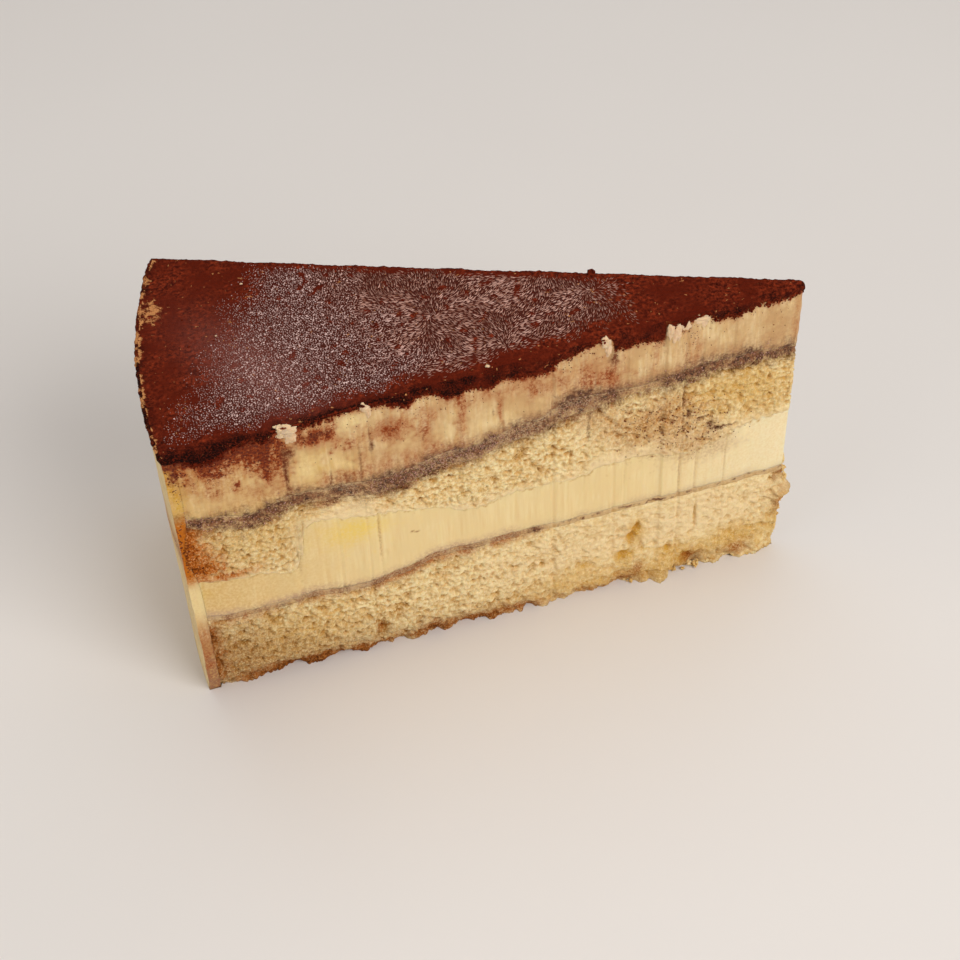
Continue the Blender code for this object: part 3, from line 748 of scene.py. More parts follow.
UPPER_SEAM_ROWS = 14
walls, distance, height = layer_walls(upper_seam_under, upper_seam_over - TOUCH, UPPER_SEAM_ROWS)
rise = np.linspace(0, 1, UPPER_SEAM_ROWS)[:, None]
grit = rough(walls, 101, (0.22, 1.3), (0.12, 0.55))
frozen = upper_frozen(distance, height, edge.side)
upper_coffee_seam = make_layer("upper_coffee_seam", walls,
                               knife_path(distance, edge.side)
                               + (grit - 0.3 * frozen) * np.sin(np.pi * rise), {
    "frozen": frozen,
    "soaked": ((0.8 + 0.35 * noise(walls, 3.0, 109))
               * (0.3 + 0.7 * np.sin(np.pi * rise))).clip(0, 1),
    "frosted": (0.8 + 0.6 * noise(walls, 4.0, 106)).clip(0, 1)
               * knotted_curve(distance, ((0, 0.2), (30, 0.35), (45, 0.9), (90, 0.9), (98, 0.35),
                                          (120, 0.3))),
    "creamy": (1.2 * rise - 0.2 + 0.7 * noise(walls, 1.4, 107)).clip(0, 1),
})
upper_coffee_seam.data.materials.append(soaked_crumb)
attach(upper_coffee_seam, "root")
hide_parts("coffee_upper")


# ------------------------------------------------------------------ top cream
# The same mascarpone cream, spread last and levelled. The knife carried cocoa
# and coffee down through it in streaks, clots and washes of reddish brown.

POINT_HEIGHT = 69.2
RIM_HEIGHT = 64.5
UNDER_COCOA = 0.7                    # the cream ends this far below the top


def top_height(distance):
    """The top falls evenly from the point to the rim."""
    return POINT_HEIGHT + (RIM_HEIGHT - POINT_HEIGHT) * (distance / CUT_LENGTH).clip(0, 1)


# How far the cocoa hangs down the front cut, between the tufts of cream that break it.
COCOA_EDGE = ((0, 1.1), (1.6, 1.3), (3.5, 1.7), (6.3, 2), (8, 1.2), (9.8, 1.65), (12.8, 2.4),
              (15, 1.9), (17, 1.9), (18.6, 0.3), (22, 0.3), (23.2, 1.6), (24.6, 0.5), (26.7, 0.1),
              (27.1, 3.9), (30.7, 2.8), (33.4, 2.7), (35.8, 3), (36.4, 3.6), (37.1, 0.2), (39.8, 0.1),
              (41.7, 0.8), (45, 1.6), (47, 1.4), (49, 3.75), (52, 3.4), (55.5, 3.5), (57.5, 2.6),
              (61, 3.6), (63.9, 2.8), (68.4, 3.65), (70.7, 1.75), (73, 1), (76.7, 2.5), (80, 1),
              (83, 0.2), (86, 0.2), (90.8, 0.4), (92, 1.05), (95.4, 0.6), (96.2, 0.1), (99.7, 0.1),
              (101.5, 2), (105.5, 1.2), (108, 1.9), (110, 2.6), (112, 3.9), (114, 2.6), (118, 1.4),
              (120, 1.2))


def cocoa_reach(distance, side):
    """How far down the curtain hangs: drawn by knots in front, wavy behind, ragged all round."""
    front = knotted_curve(distance, COCOA_EDGE)
    back = 2.3 + 1.2 * wave(distance, 9.0, 144)
    share = ((side + 1) / 2).clip(0, 1)
    deep = front * (1 - share) + back * share
    ragged = (0.5 * wave(distance + side * 300, 2.0, 145)
              + 0.28 * wave(distance + side * 300, 0.7, 146))
    return deep + ragged * (deep / 2).clip(0.15, 1)


walls, distance, height = layer_walls(upper_seam_over, top_height(edge.distance) - UNDER_COCOA, 50)
drag = rough(walls, 111, (0.10, (0.9, 0.9, 14)), (0.06, (0.4, 0.4, 6)))
ripples = 0.12 * noise(walls, 2.4, 113)
below_top = top_height(distance) - height
WASHES = ((110, 61.8, 10, 3.2, 1), (104, 60.6, 6, 3.6, 0.95), (101, 57, 2.6, 4.5, 0.7),
          (92.5, 61.3, 3.6, 2.2, 0.95), (87, 57, 2.6, 2.6, 0.4), (113, 56.5, 6, 4, 0.4),
          (105, 51, 8, 3.5, 0.3), (79, 58.6, 4.5, 3, 0.5), (73, 57.5, 2, 5, 0.4),
          (66, 57.5, 1.2, 4, 0.4), (43, 59, 6, 4.5, 0.4), (37, 57.5, 2, 5, 0.4),
          (21.5, 60, 2.6, 5, 0.3), (28.6, 61, 1.2, 3.5, 0.3), (0.6, 61, 1, 6, 0.25),
          (58.6, 56.5, 0.6, 2.4, 0.7), (31.5, 65.5, 4, 1, 0.4), (52, 60, 3, 2.5, 0.3),
          (88, 50, 7, 1.8, 0.4), (60, 61, 14, 2, 0.3), (76, 51, 9, 2.5, 0.3))
STREAKS = ((98.9, 55, 0.5, 7, 0.95), (91, 49.6, 0.4, 2.6, 0.7), (85.3, 52, 0.4, 5.5, 0.6),
           (83.2, 57.5, 0.3, 6, 0.5), (36.6, 62.6, 0.9, 2.8, 1), (26.9, 64.6, 0.35, 2.2, 0.9),
           (98.2, 58.8, 1.6, 1.4, 1), (99.2, 48.6, 0.6, 0.9, 1), (92.5, 61.6, 3.2, 0.7, 0.8),
           (82.9, 55.9, 0.5, 1.4, 0.8), (60, 56.6, 0.35, 1.5, 0.5), (73.4, 55, 0.4, 3, 0.4),
           (118.6, 60, 0.9, 2.6, 0.7), (115, 62.6, 5, 0.8, 0.8))
CLEAN_CREAM = ((95.3, 54, 2, 4.5, 1), (88.2, 54.5, 2.4, 4, 0.8), (86.5, 62.6, 4, 2, 1),
               (102.5, 51.5, 2.6, 2, 0.5), (66, 55, 14, 3, 0.35), (112, 51.5, 7, 3, 0.5),
               (104, 53.5, 4, 3, 0.5), (76, 55.5, 4, 3, 0.4))


def top_stains(spots, distance, below_top, side):
    """The marks that cocoa and coffee left on the cut of the top cream."""
    height = spots[..., 2]
    front = np.where(side < 0, 1.0, 0.6)             # the back cut is stained less
    past_edge = (below_top - cocoa_reach(distance, side)) / 1.1
    fringe = np.exp(-past_edge.clip(0, 9) ** 2) * (0.9 + noise(spots, 0.8, 123)).clip(0, 1)
    drips = 1.05 + 0.55 * noise(spots, (2.4, 2.4, 5), 125) + 0.35 * noise(spots, 1.1, 126)
    brown = (blots(distance, height, WASHES, 115) * drips.clip(0, 1.5)).clip(0, 1) * front
    gloom = knotted_curve(distance, ((0, 0.4), (30, 0.55), (45, 0.9), (60, 0.75), (80, 0.85),
                                     (95, 0.4), (104, 0.25), (120, 0.2)))
    above_seam = height - knotted_curve(distance, UPPER_SEAM)
    gloom = gloom * (0.9 + 0.5 * noise(spots, 3.0, 127)) * bell(above_seam, 1.5, 2.6)
    yolk = blots(distance, height, ((119.4, 60, 1.8, 5, 1), (118.6, 54, 1.2, 4, 0.6),
                                    (94.5, 53.5, 3, 4.5, 0.7), (88, 53, 2.5, 4, 0.5)), 121)
    clots = blots(distance, height, ((43.8, 55.2, 2.6, 1.8, 1.0), (37.3, 53.9, 1.1, 1.6, 1.0)), 119)
    clots = clots * (0.5 + 1.1 * noise(spots, 1.2, 120)).clip(0, 1)
    yolk = yolk + 0.35 * ((distance - 97) / 6).clip(0, 1)
    return {
        "brown": (brown + 0.9 * fringe).clip(0, 1),
        "streaked": blots(distance, height, STREAKS, 117) * front,
        "yolk": yolk * (1 - 0.6 * brown),
        "dirt": (0.7 * brown + 0.7 * fringe + 0.4 * yolk + 0.4 * np.exp(-below_top / 5)
                 + 0.25 * np.exp(-(distance - 22) ** 2 / 30)).clip(0, 1),
        "hazed": (0.25 * ((40 - distance) / 40).clip(0, 1) + gloom
                  + blots(distance, height, ((80.0, 59.0, 3.0, 2.0, 0.6),), 124)).clip(0, 1) * front,
        "frozen": (upper_frozen(distance, height, side) + clots * front).clip(0, 1),
        "clean": (blots(distance, height, CLEAN_CREAM, 128) * (1 - 0.7 * brown)).clip(0, 1),
    }


inner = settled(height, upper_seam_over, 99)         # 99: the cocoa covers its upper border
top_cream = make_layer("top_cream", walls, knife_path(distance, edge.side) + (drag + ripples) * inner,
                       top_stains(walls, distance, below_top, edge.side + 0 * distance))

# Stained mascarpone cream: the cream above with cocoa and coffee worked into it.
# The eye gets reddish-brown washes, dark clotted streaks and black grains.
stained_cream, tree = new_tree("stained_mascarpone_cream")
place = add(tree, "ShaderNodeTexCoord", {})["Object"]
upright = add(tree, "ShaderNodeMapping", {"Vector": place, "Scale": (1, 1, 0.14)})[0]
streak = uneven(tree, upright, 0.6, 0.35, 0.68, 4)
fine = uneven(tree, place, 0.5, 0.35, 0.65, 4, 0.65)
cloud = uneven(tree, place, 5, 0.4, 0.62, 4)
grit = add(tree, "ShaderNodeMix", {0: 0.2, 2: fine, 3: streak})[0]
colour = add(tree, "ShaderNodeMix", {0: streak, 6: linear("#e9ce9c"), 7: linear("#dbb57b")},
             data_type="RGBA")[2]
colour = add(tree, "ShaderNodeMix", {0: cloud, 6: colour, 7: linear("#cda470")},
             data_type="RGBA")[2]
for mark, tint, start, full in (("yolk", "#d9ab43", 0.0, 1.2), ("clean", "#efd397", 0.0, 1.2),
                                ("pale", "#eac59e", 0.0, 1.0), ("hazed", "#a16d4b", 0.1, 1.2),
                                ("brown", "#a24403", 0.0, 0.8),
                                ("brown", "#6c2506", 0.45, 1.15), ("frozen", "#5f3c28", 0.15, 1.0),
                                ("crust", "#ba6500", 0.1, 0.75), ("streaked", "#6d3315", 0.2, 1.0)):
    colour = stain(tree, colour, grit, mark, linear(tint), start, full)
dots = speckled(tree, place, 0.55, 0.45)
colour = stain(tree, colour, dots, "dirt", linear("#5a1f0a"), 0.55, 0.75, 0.9)
lines = add(tree, "ShaderNodeMath", {0: streak, 1: fine}, operation="ADD")[0]
bump = add(tree, "ShaderNodeBump", {"Height": lines, "Strength": 0.5, "Distance": 0.1 * MM})[0]
surface(tree, {
    "Base Color": colour, "Roughness": 0.55, "Normal": bump, "Specular IOR Level": 0.18,
    "Subsurface Weight": 0.25, "Subsurface Radius": (1.0, 0.65, 0.4), "Subsurface Scale": 1.2 * MM})

top_cream.data.materials.append(stained_cream)
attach(top_cream, "root")
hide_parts("cream_top")


# ------------------------------------------------------------------ rim coat
# A thin coat of the cream that holds the layers together round the rim. It was
# set against a band, so it is smooth, and the upper sponge squeezes it thin.

COAT_ROWS, COAT_COLUMNS, COAT_DEPTH = 130, 96, 7
RIM_HALF_LENGTH = 28                 # along the rim from its middle to a cut
FOOT_WEAR = 1.6                      # how far its foot has crumbled back from the cuts
CUT_TURN = 0.985                     # past this turn its skin is the knife's cut ...
FOOT_TURN = 0.06                     # ... and from this much earlier at the worn foot
TOP_CREAM_FOOT = 46                  # its cut is stained like the top cream from here up


def coat_places(turn, across, rise):
    """A place in the coat. across is 0 outside and 1 inside, and rise is 0 to 1.

    The inset is the coat's thickness times across, less faint bands outside, and
    close to a cut the place follows the knife's path.
    """
    turn, across, rise = np.broadcast_arrays(turn, across, rise)
    height = rise * (top_height(np.full_like(rise, CUT_LENGTH)) - UNDER_COCOA)
    thickness = coat_thickness(height)
    curl = np.stack([turn * RIM_HALF_LENGTH, np.zeros_like(turn), height], -1)
    bands = (0.10 * noise(curl, (14, 1, 1.6), 131) + 0.12 * noise(curl, 6.0, 132)).clip(-0.2, 1)
    flat = rim_place(turn, across * thickness + (1 - across) * (0.1 + bands) * (rise > 0))
    distance = np.hypot(flat[..., 0], flat[..., 1])
    near_cut = ((abs(turn) - 0.95) / 0.05).clip(0, 1)
    worn = (1 - height / FOOT_HEIGHT).clip(0, 1)
    offset = (knife_path(distance, np.sign(turn)) - FOOT_WEAR * worn) * near_cut
    for side in (-1, 1):
        normal = edge.normal[edge.on_cut & (edge.side == side)][0]
        flat = flat + normal * (offset * (np.sign(turn) == side))[..., None]
    return np.concatenate([flat, height[..., None]], -1)


def belt(height, middle, reach):
    """1 about a middle height and 0 past its reach: e to the minus fourth power of their ratio."""
    return np.exp(-((height - middle) / reach) ** 4)


turns = np.linspace(-1, 1, COAT_COLUMNS)
rises = np.linspace(0, 1, COAT_ROWS)[:, None]
depths = np.linspace(0, 1, COAT_DEPTH)
shells = [
    coat_places(turns[::-1], 0.0, rises),            # outer skin
    coat_places(turns, 1.0, rises),                  # inner skin
    coat_places(-1.0, depths, rises),                # front cut
    coat_places(1.0, depths[::-1], rises),           # back cut
    coat_places(turns, depths[::-1, None], 1.0),     # top
    coat_places(turns, depths[:, None], 0.0),        # bottom
]
spots, faces, start = [], [], 0
for grid in shells:
    spots.append(grid.reshape(-1, 3))
    faces.append(grid_faces(*grid.shape[:2], False) + start)
    start += len(spots[-1])
spots = np.concatenate(spots)
distance = np.hypot(spots[:, 0], spots[:, 1])
height = spots[:, 2]
below_top = RIM_HEIGHT - height
turn = np.arctan2(spots[:, 1], -spots[:, 0]) / HALF_ANGLE
thin = bell(height, SQUEEZE_HEIGHT, 4.5)
on_cut = (abs(turn) > CUT_TURN - FOOT_TURN * (1 - height / FOOT_HEIGHT).clip(0, 1)).astype(float)
crusty = belt(height, 41, 8)         # baked brown where the upper sponge shows through
scorched = belt(height, 16, 4.5)     # and a little about the lower one
marks = top_stains(spots, distance, below_top, turn)
marks = {mark: values * on_cut * (height > TOP_CREAM_FOOT) for mark, values in marks.items()}
patchy = noise(spots, 1.8, 138)
marks["brown"] = (marks["brown"] + on_cut * (0.05 + 0.5 * patchy) * belt(height, 0, 14)
                  + on_cut * 0.35 * scorched + 0.5 * thin
                  + (1 - on_cut) * 0.9 * bell(below_top, 0, 2)).clip(0, 1)
marks["hazed"] = (marks["hazed"] + 1.1 * on_cut * belt(height, 0, 17)).clip(0, 1.1)
marks["yolk"] = (marks["yolk"] + 0.6 * thin + 0.9 * on_cut * belt(height, 0, 15)).clip(0, 1)
marks["crust"] = (on_cut * crusty * 1.2).clip(0, 1)
marks["dirt"] = (marks["dirt"] + 0.6 * thin + 0.7 * on_cut * crusty).clip(0, 1)
marks["streaked"] = (marks["streaked"] + on_cut * crusty * (patchy - 0.1).clip(0, 1)).clip(0, 1)
marks["clean"] = (on_cut * belt(height, 27.5, 5)
                  + (1 - on_cut) * (0.85 + 0.3 * noise(spots, 9.0, 139))).clip(0, 1)
rim_coat = make_piece("rim_coat", spots, faces, [], marks)
welded = rim_coat.data
mesh_edit = bmesh.new()
mesh_edit.from_mesh(welded)
bmesh.ops.remove_doubles(mesh_edit, verts=mesh_edit.verts, dist=1e-6)
mesh_edit.to_mesh(welded)
mesh_edit.free()
welded.set_sharp_from_angle(angle=np.radians(55))
rim_coat.data.materials.append(stained_cream)
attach(rim_coat, "root")
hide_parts("cream_side")


# ------------------------------------------------------------------ cocoa skin
# Cocoa powder sieved thick over the cream, damp and caked. It hangs over the
# cuts as a ragged curtain where the knife dragged it down.

EDGE_ROUND = 0.5
EDGE_ANGLE = np.radians(13.2)        # of the skin's straight edges
CURTAIN = 0.30                       # its thickness where it hangs
COCOA_ROWS, COCOA_COLUMNS = 400, 184


def cocoa_grain(flat):
    """Height of the caked powder: slow swells, clods and grains."""
    ground = at_zero(flat)
    clods = noise(ground, 1.1, 142)
    return (0.16 * noise(ground, 13.0, 141) + 0.22 * np.maximum(clods, 0.05)
            + 0.12 * noise(ground, 0.6, 143))


apex = np.array([-0.2 * POINT_WIDTH + (POINT_WIDTH / 2 - EDGE_ROUND) / np.tan(EDGE_ANGLE), 0])
corner_turn = 1 - EDGE_ROUND / CUT_LENGTH / HALF_ANGLE
turns = np.linspace(-1, 1, COCOA_COLUMNS)
shares = np.linspace(0.0085, 1, COCOA_ROWS)[:, None, None]
flat = apex + shares * (rim_place(turns * corner_turn, EDGE_ROUND) - apex)
distance = np.hypot(flat[..., 0], flat[..., 1])
inside = (1 - abs(turns)) * distance * HALF_ANGLE
pull = knife_path(distance, np.sign(turns) + 0 * distance) * (1 - inside / 3).clip(0, 1)
front_normal = edge.normal[edge.on_cut & (edge.side == -1)][0]
back_normal = edge.normal[edge.on_cut & (edge.side == 1)][0]
square = np.where((turns < 0)[:, None], front_normal, back_normal)
flat = flat + square * pull[..., None]
top = np.concatenate([flat, (top_height(distance) + cocoa_grain(flat))[..., None]], -1)

# Round the edge of that grid: nose, back cut, rim and front cut, each column once.
number = np.arange(COCOA_ROWS * COCOA_COLUMNS).reshape(COCOA_ROWS, COCOA_COLUMNS)
loop = np.concatenate([number[0, :-1], number[:-1, -1], number[-1, :0:-1], number[:0:-1, 0]])
fan = np.linspace(-1, 1, COCOA_COLUMNS) * (np.pi / 2 - EDGE_ANGLE)
around = np.concatenate([
    np.stack([np.cos(fan), np.sin(fan)], -1)[:-1],
    np.tile(back_normal, (COCOA_ROWS - 1, 1)),
    np.stack([-np.cos(turns * HALF_ANGLE), np.sin(turns * HALF_ANGLE)], -1)[:0:-1],
    np.tile(front_normal, (COCOA_ROWS - 1, 1)),
])
bends = (COCOA_COLUMNS - 1 + COCOA_ROWS - 1, 2 * (COCOA_COLUMNS - 1) + COCOA_ROWS - 1)
for bend in bends:
    around[bend] = around[bend] + around[bend - 1]
    around[bend] /= np.hypot(*around[bend])
rims = top.reshape(-1, 3)[loop]
far = np.hypot(rims[:, 0], rims[:, 1])
on_rim = np.zeros(len(loop))
on_rim[bends[0]:bends[1]] = 1
loop_side = np.concatenate([np.sin(fan)[:-1], np.ones(COCOA_ROWS - 1), turns[:0:-1],
                            -np.ones(COCOA_ROWS - 1)])
rim_reach = 0.5 + 0.5 * noise(at_zero(rims[:, :2]), 2.4, 147)
reach = np.where(on_rim > 0, rim_reach, cocoa_reach(far, loop_side)).clip(0.08, 6)
drop = np.minimum(EDGE_ROUND, 0.6 * reach)

# The curtain's rows, each as (how far out, how far down): over the edge's round,
# down the outside while it thins, round the hem, and up under the skin.
rows = []
for step in (0.25, 0.5, 0.75, 1.0):
    bend = step * np.pi / 2
    rows.append((EDGE_ROUND * np.sin(bend) + CURTAIN * step, drop * (1 - np.cos(bend))))
for step in np.linspace(0, 1, 11)[1:]:
    thickness = CURTAIN * (1 - 0.45 * step ** 2)
    rows.append((EDGE_ROUND + thickness, drop + (reach - drop) * step))
hem = np.full(len(loop), UNDER_COCOA - TOUCH)
rows.append((EDGE_ROUND + 0.01, reach))
rows.append((EDGE_ROUND + 0.01, np.minimum(reach, hem)))
rows.append((-1.0, hem))
skirt = []
for index, (out, down) in enumerate(rows):
    ring = rims.copy()
    out = np.full(len(loop), out)
    if index < len(rows) - 3:
        grown = np.concatenate([rims[:, :2], -down[:, None]], -1)
        out = out + rough(grown, 149, (0.14, 1.6), (0.16, 0.7)) * min(1, index / 3)
    ring[:, :2] += around * out[:, None]
    ring[:, 2] -= down
    skirt.append(ring)
spots = np.concatenate([top.reshape(-1, 3), *skirt, [[*MIDDLE, 66.0]]])
columns = len(loop)
first = COCOA_ROWS * COCOA_COLUMNS
bands = [loop] + [first + index * columns + np.arange(columns) for index in range(len(rows))]
faces = [grid_faces(COCOA_ROWS, COCOA_COLUMNS, False)]
for above, below in zip(bands, bands[1:]):
    faces.append(np.stack([below, np.roll(below, -1), np.roll(above, -1), above], -1))
centre = np.full(columns, len(spots) - 1)
under = np.stack([bands[-1], centre, np.roll(bands[-1], -1)], -1)


def frost_cover(flat):
    """How thickly frost lies on the top, from 0 to 1.

    It keeps clear of the cuts and the rim, stops along a slanting line near the
    rim and fades out towards the point. Each border is an eased step whose place
    is moved by noise.
    """
    ground = at_zero(flat)
    ragged = rough(ground, 151, (1.3, 7.0), (0.8, 2.4))
    away = np.hypot(flat[..., 0], flat[..., 1])
    turn = np.arctan2(flat[..., 1], -flat[..., 0])
    from_front = (turn + HALF_ANGLE) * away + 1.3 * ragged
    from_back = (HALF_ANGLE - turn) * away + 0.7 * ragged
    from_slant = flat[..., 0] + 107.4 - 0.31 * flat[..., 1] + 2 * ragged
    from_tip = -33.0 - flat[..., 0] + 2 * ragged
    cover = 1.0
    for gap, start, full in ((from_front, 1.4, 6.2), (from_back, 0.6, 2.8),
                             (from_slant, -3.5, 10.0), (from_tip, -4.0, 9.0)):
        share = ((gap - start) / (full - start)).clip(0, 1)
        cover = cover * share ** 2 * (3 - 2 * share)
    rust = ((noise(ground, 2.2, 163) - 0.38) / 0.2).clip(0, 1)
    return cover * (1 - 0.9 * rust)


# For each spot, depth is how far below the top it hangs and left is how far above the hem.
curtain = len(spots) - first         # how many spots hang
depth = np.concatenate([np.zeros(first), *[down for _, down in rows], [3]])
left = np.concatenate([np.full(first, 3.0), *[reach - down for _, down in rows], [3]])
frosty = frost_cover(spots[:, :2]) * (depth < 0.3)
far = np.hypot(spots[:, 0], spots[:, 1])
to_edge = 1 - np.concatenate([inside.ravel() / 2.2, np.zeros(curtain)])
from_rim = ((1 - shares[..., 0]) * CUT_LENGTH + 0 * distance).ravel()
near_rim = 1 - np.concatenate([from_rim / 3, np.zeros(curtain)]).clip(0, 1)
wet = to_edge.clip(0, 1) * (spots[:, 1] < 0) * ((far - 55) / 30).clip(0, 1) + 0.7 * near_rim
wet = wet * (0.75 + 0.6 * noise(spots, 2.2, 153))
across = spots[:, 1] + 6 + 0.8 * (spots[:, 0] + 101)
haze = np.exp(-((spots[:, 0] + 101) / 11) ** 2 - (across / 9) ** 2)
rim_ring = np.concatenate([(0.5 - from_rim / 0.7 - 1.1 * noise(spots[:first], 2.6, 154)
                            - 0.8 * noise(spots[:first], 0.8, 155)).clip(0, 1),
                           np.tile(on_rim, len(rows)), [0]])
rim_ring[first:] *= (0.35 + 0.9 * noise(spots[first:], 2.2, 154)
                     + 0.5 * noise(spots[first:], 0.8, 155) + 0.25 * depth[first:]).clip(0, 1)
# Places where the cream shows through: x, y, half width, half length and how much.
patches = np.zeros(len(spots))
for x, y, wide, tall, strength in ((-119.7, 12.6, 1.8, 3.2, 1), (-110.5, 6.6, 2, 0.4, 0.5),
                                   (-107, 22, 1.2, 0.3, 0.5), (-52.5, 13.6, 0.8, 0.4, 0.5),
                                   (-40.6, 6.5, 1.3, 0.4, 0.5), (-37.9, 0.8, 1.2, 0.4, 0.5)):
    far = ((spots[:, 0] - x) / wide) ** 2 + ((spots[:, 1] - y) / tall) ** 2
    patches = patches + strength * np.exp(-far)
flecks = 0.6 * ((noise(spots, 0.8, 157) - 0.6) / 0.15).clip(0, 1)
cocoa_skin = make_piece("cocoa_skin", spots, faces, [under], {
    "frost": frosty.clip(0, 1),
    "haze": haze * (depth < 0.3),
    "bare": (rim_ring + patches * (0.9 + 1.2 * noise(spots, 1.0, 156)) + flecks).clip(0, 1),
    "wet": wet.clip(0, 1),
    "thin": 1 - (left / 0.5).clip(0, 1),
})

# Cocoa powder: ground cocoa caked by damp, matt and dark reddish brown. The eye
# gets fine grains, blacker where it is wet, and a mauve haze under the frost.
cocoa_powder, tree = new_tree("caked_cocoa_powder")
place = add(tree, "ShaderNodeTexCoord", {})["Object"]
grain = uneven(tree, place, 0.7, 0.38, 0.62, 5, 0.65)
patch = uneven(tree, place, 6, 0.4, 0.64, 4)
fine = uneven(tree, place, 0.28, 0.33, 0.67, 2)
colour = add(tree, "ShaderNodeMix", {0: grain, 6: linear("#8c3319"), 7: linear("#410f06")},
             data_type="RGBA")[2]
colour = add(tree, "ShaderNodeMix", {0: patch, 6: colour, 7: linear("#621c0a")},
             data_type="RGBA")[2]
for mark, tint, start, full in (("thin", "#8e451d", 0.3, 0.9), ("frost", "#53251b", 0.1, 0.9),
                                ("haze", "#8a5248", 0.0, 1.6), ("wet", "#1d0805", 0.2, 1.1),
                                ("bare", "#d39058", 0.4, 0.8)):
    colour = stain(tree, colour, fine, mark, linear(tint), start, full)
bump = add(tree, "ShaderNodeBump", {"Height": grain, "Strength": 0.9, "Distance": 0.2 * MM})[0]
surface(tree, {"Base Color": colour, "Roughness": 0.9, "Normal": bump, "Specular IOR Level": 0.06})

cocoa_skin.data.materials.append(cocoa_powder)
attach(cocoa_skin, "root")
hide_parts("cocoa_top")


# ------------------------------------------------------------------ frost crystals
# Hoar frost that grew on the cold cocoa in the freezer: ice grains packed close
# near the rim, and long feathers in sweeping fans towards the middle.

rng = np.random.default_rng(7)
SPACING = 0.21
REACH = 7                            # how many lattice steps apart two crystals can touch
FANS = np.array([(-67.5, 2), (-45, 12), (-88, -3), (-55, -9), (-38, 4)])
FAN_HEART = 0.5                      # bare cocoa in the middle of each fan
GRAIN_CLEAR = 0.31                   # how far grains keep from each other sideways ...
FEATHER_CLEAR = 0.225                # ... and how far feathers do

lattice = np.stack(np.meshgrid(np.arange(-119, -31, SPACING), np.arange(-28, 28, SPACING)), -1)
seeds = lattice + rng.uniform(-0.5, 0.5, lattice.shape) * SPACING
ground = at_zero(seeds)
cover = frost_cover(seeds)
feathered = (seeds[..., 0] + 84 + 0.5 * seeds[..., 1]) / 12 + 0.5 * noise(ground, 6.0, 164)
feathered = feathered.clip(0, 1)
gap = seeds[:, :, None] - FANS
far = np.hypot(gap[..., 0], gap[..., 1])
pull = 1 / (far + 1.0) ** 3
turned_twice = 2 * np.arctan2(gap[..., 1], gap[..., 0])
heading = np.arctan2((pull * np.sin(turned_twice)).sum(-1), (pull * np.cos(turned_twice)).sum(-1)) / 2
heading = heading + 0.9 * noise(ground, 5.0, 161) + rng.normal(0, 0.12, cover.shape)
astray = rng.random(cover.shape) > feathered
heading = np.where(astray, rng.uniform(0, np.pi, cover.shape), heading)
clear_along = np.where(astray, 0.35, rng.uniform(0.7, 1.5, cover.shape))
clear_across = np.where(astray, GRAIN_CLEAR, FEATHER_CLEAR)

# Crystals keep their distance. Of two that are too near, the higher rank stays.
# The rank is -1 where none can grow, random where one may, and 2 where one has.
# After five rounds hardly any place is left undecided.
alive = (rng.random(cover.shape) < cover ** 0.8) & (far.min(-1) > FAN_HEART)
rank = np.where(alive, rng.random(cover.shape), -1)
for _ in range(5):
    outdone = np.zeros(cover.shape, bool)
    crowded = np.zeros(cover.shape, bool)
    for shift in itertools.product(range(-REACH, REACH + 1), repeat=2):
        apart = np.roll(seeds, shift, (0, 1)) - seeds
        lengthwise = apart[..., 0] * np.cos(heading) + apart[..., 1] * np.sin(heading)
        sideways = apart[..., 1] * np.cos(heading) - apart[..., 0] * np.sin(heading)
        near = (lengthwise / clear_along) ** 2 + (sideways / clear_across) ** 2 < 1
        other = np.roll(rank, shift, (0, 1))
        outdone |= near & (other > rank)
        crowded |= near & (other == 2)
    rank = np.select([rank < 0, rank == 2, crowded, outdone], [-1, 2, -1, rank], 2)
grown = rank == 2
seeds, cover, heading = seeds[grown], cover[grown], heading[grown]
feathered, clear_along = feathered[grown], clear_along[grown]
big = rng.random(len(seeds)) ** 10
full_grown = 0.65 + 0.35 * cover
length = (0.53 * clear_along + rng.uniform(-0.04, 0.06, len(seeds)) + 0.12 * big) * full_grown
slim = clear_across[grown] / GRAIN_CLEAR
width = (rng.uniform(0.13, 0.18, len(seeds)) + 0.12 * big) * full_grown * slim
tall = (rng.uniform(0.14, 0.28, len(seeds)) + 0.1 * big) * full_grown
shape = np.array([[1, 0, 0.6], [-1, 0, 0.6], [0, 1, -0.3], [0, -1, -0.3]])
sized = shape * np.stack([length, width, tall], -1)[:, None, :]
turned = np.stack([
    sized[..., 0] * np.cos(heading)[:, None] - sized[..., 1] * np.sin(heading)[:, None],
    sized[..., 0] * np.sin(heading)[:, None] + sized[..., 1] * np.cos(heading)[:, None],
    sized[..., 2]], -1)
base = np.column_stack([seeds, top_height(np.hypot(*seeds.T)) + cocoa_grain(seeds) + 0.02])
crystals = (turned + base[:, None]).reshape(-1, 3)
sides = np.array([[0, 2, 1], [0, 1, 3], [0, 3, 2], [1, 2, 3]])     # a slim four-faced splinter
facets = (sides + 4 * np.arange(len(seeds))[:, None, None]).reshape(-1, 3)
pale = rng.uniform(0, 1, len(seeds)) ** 1.2 * (0.3 + 0.7 * cover) + 0.5 * big
frost_crystals = make_piece("frost_crystals", crystals, [], [facets], {
    "pale": np.repeat(pale.clip(0, 1), 4),
    "feathered": np.repeat(feathered, 4),
})

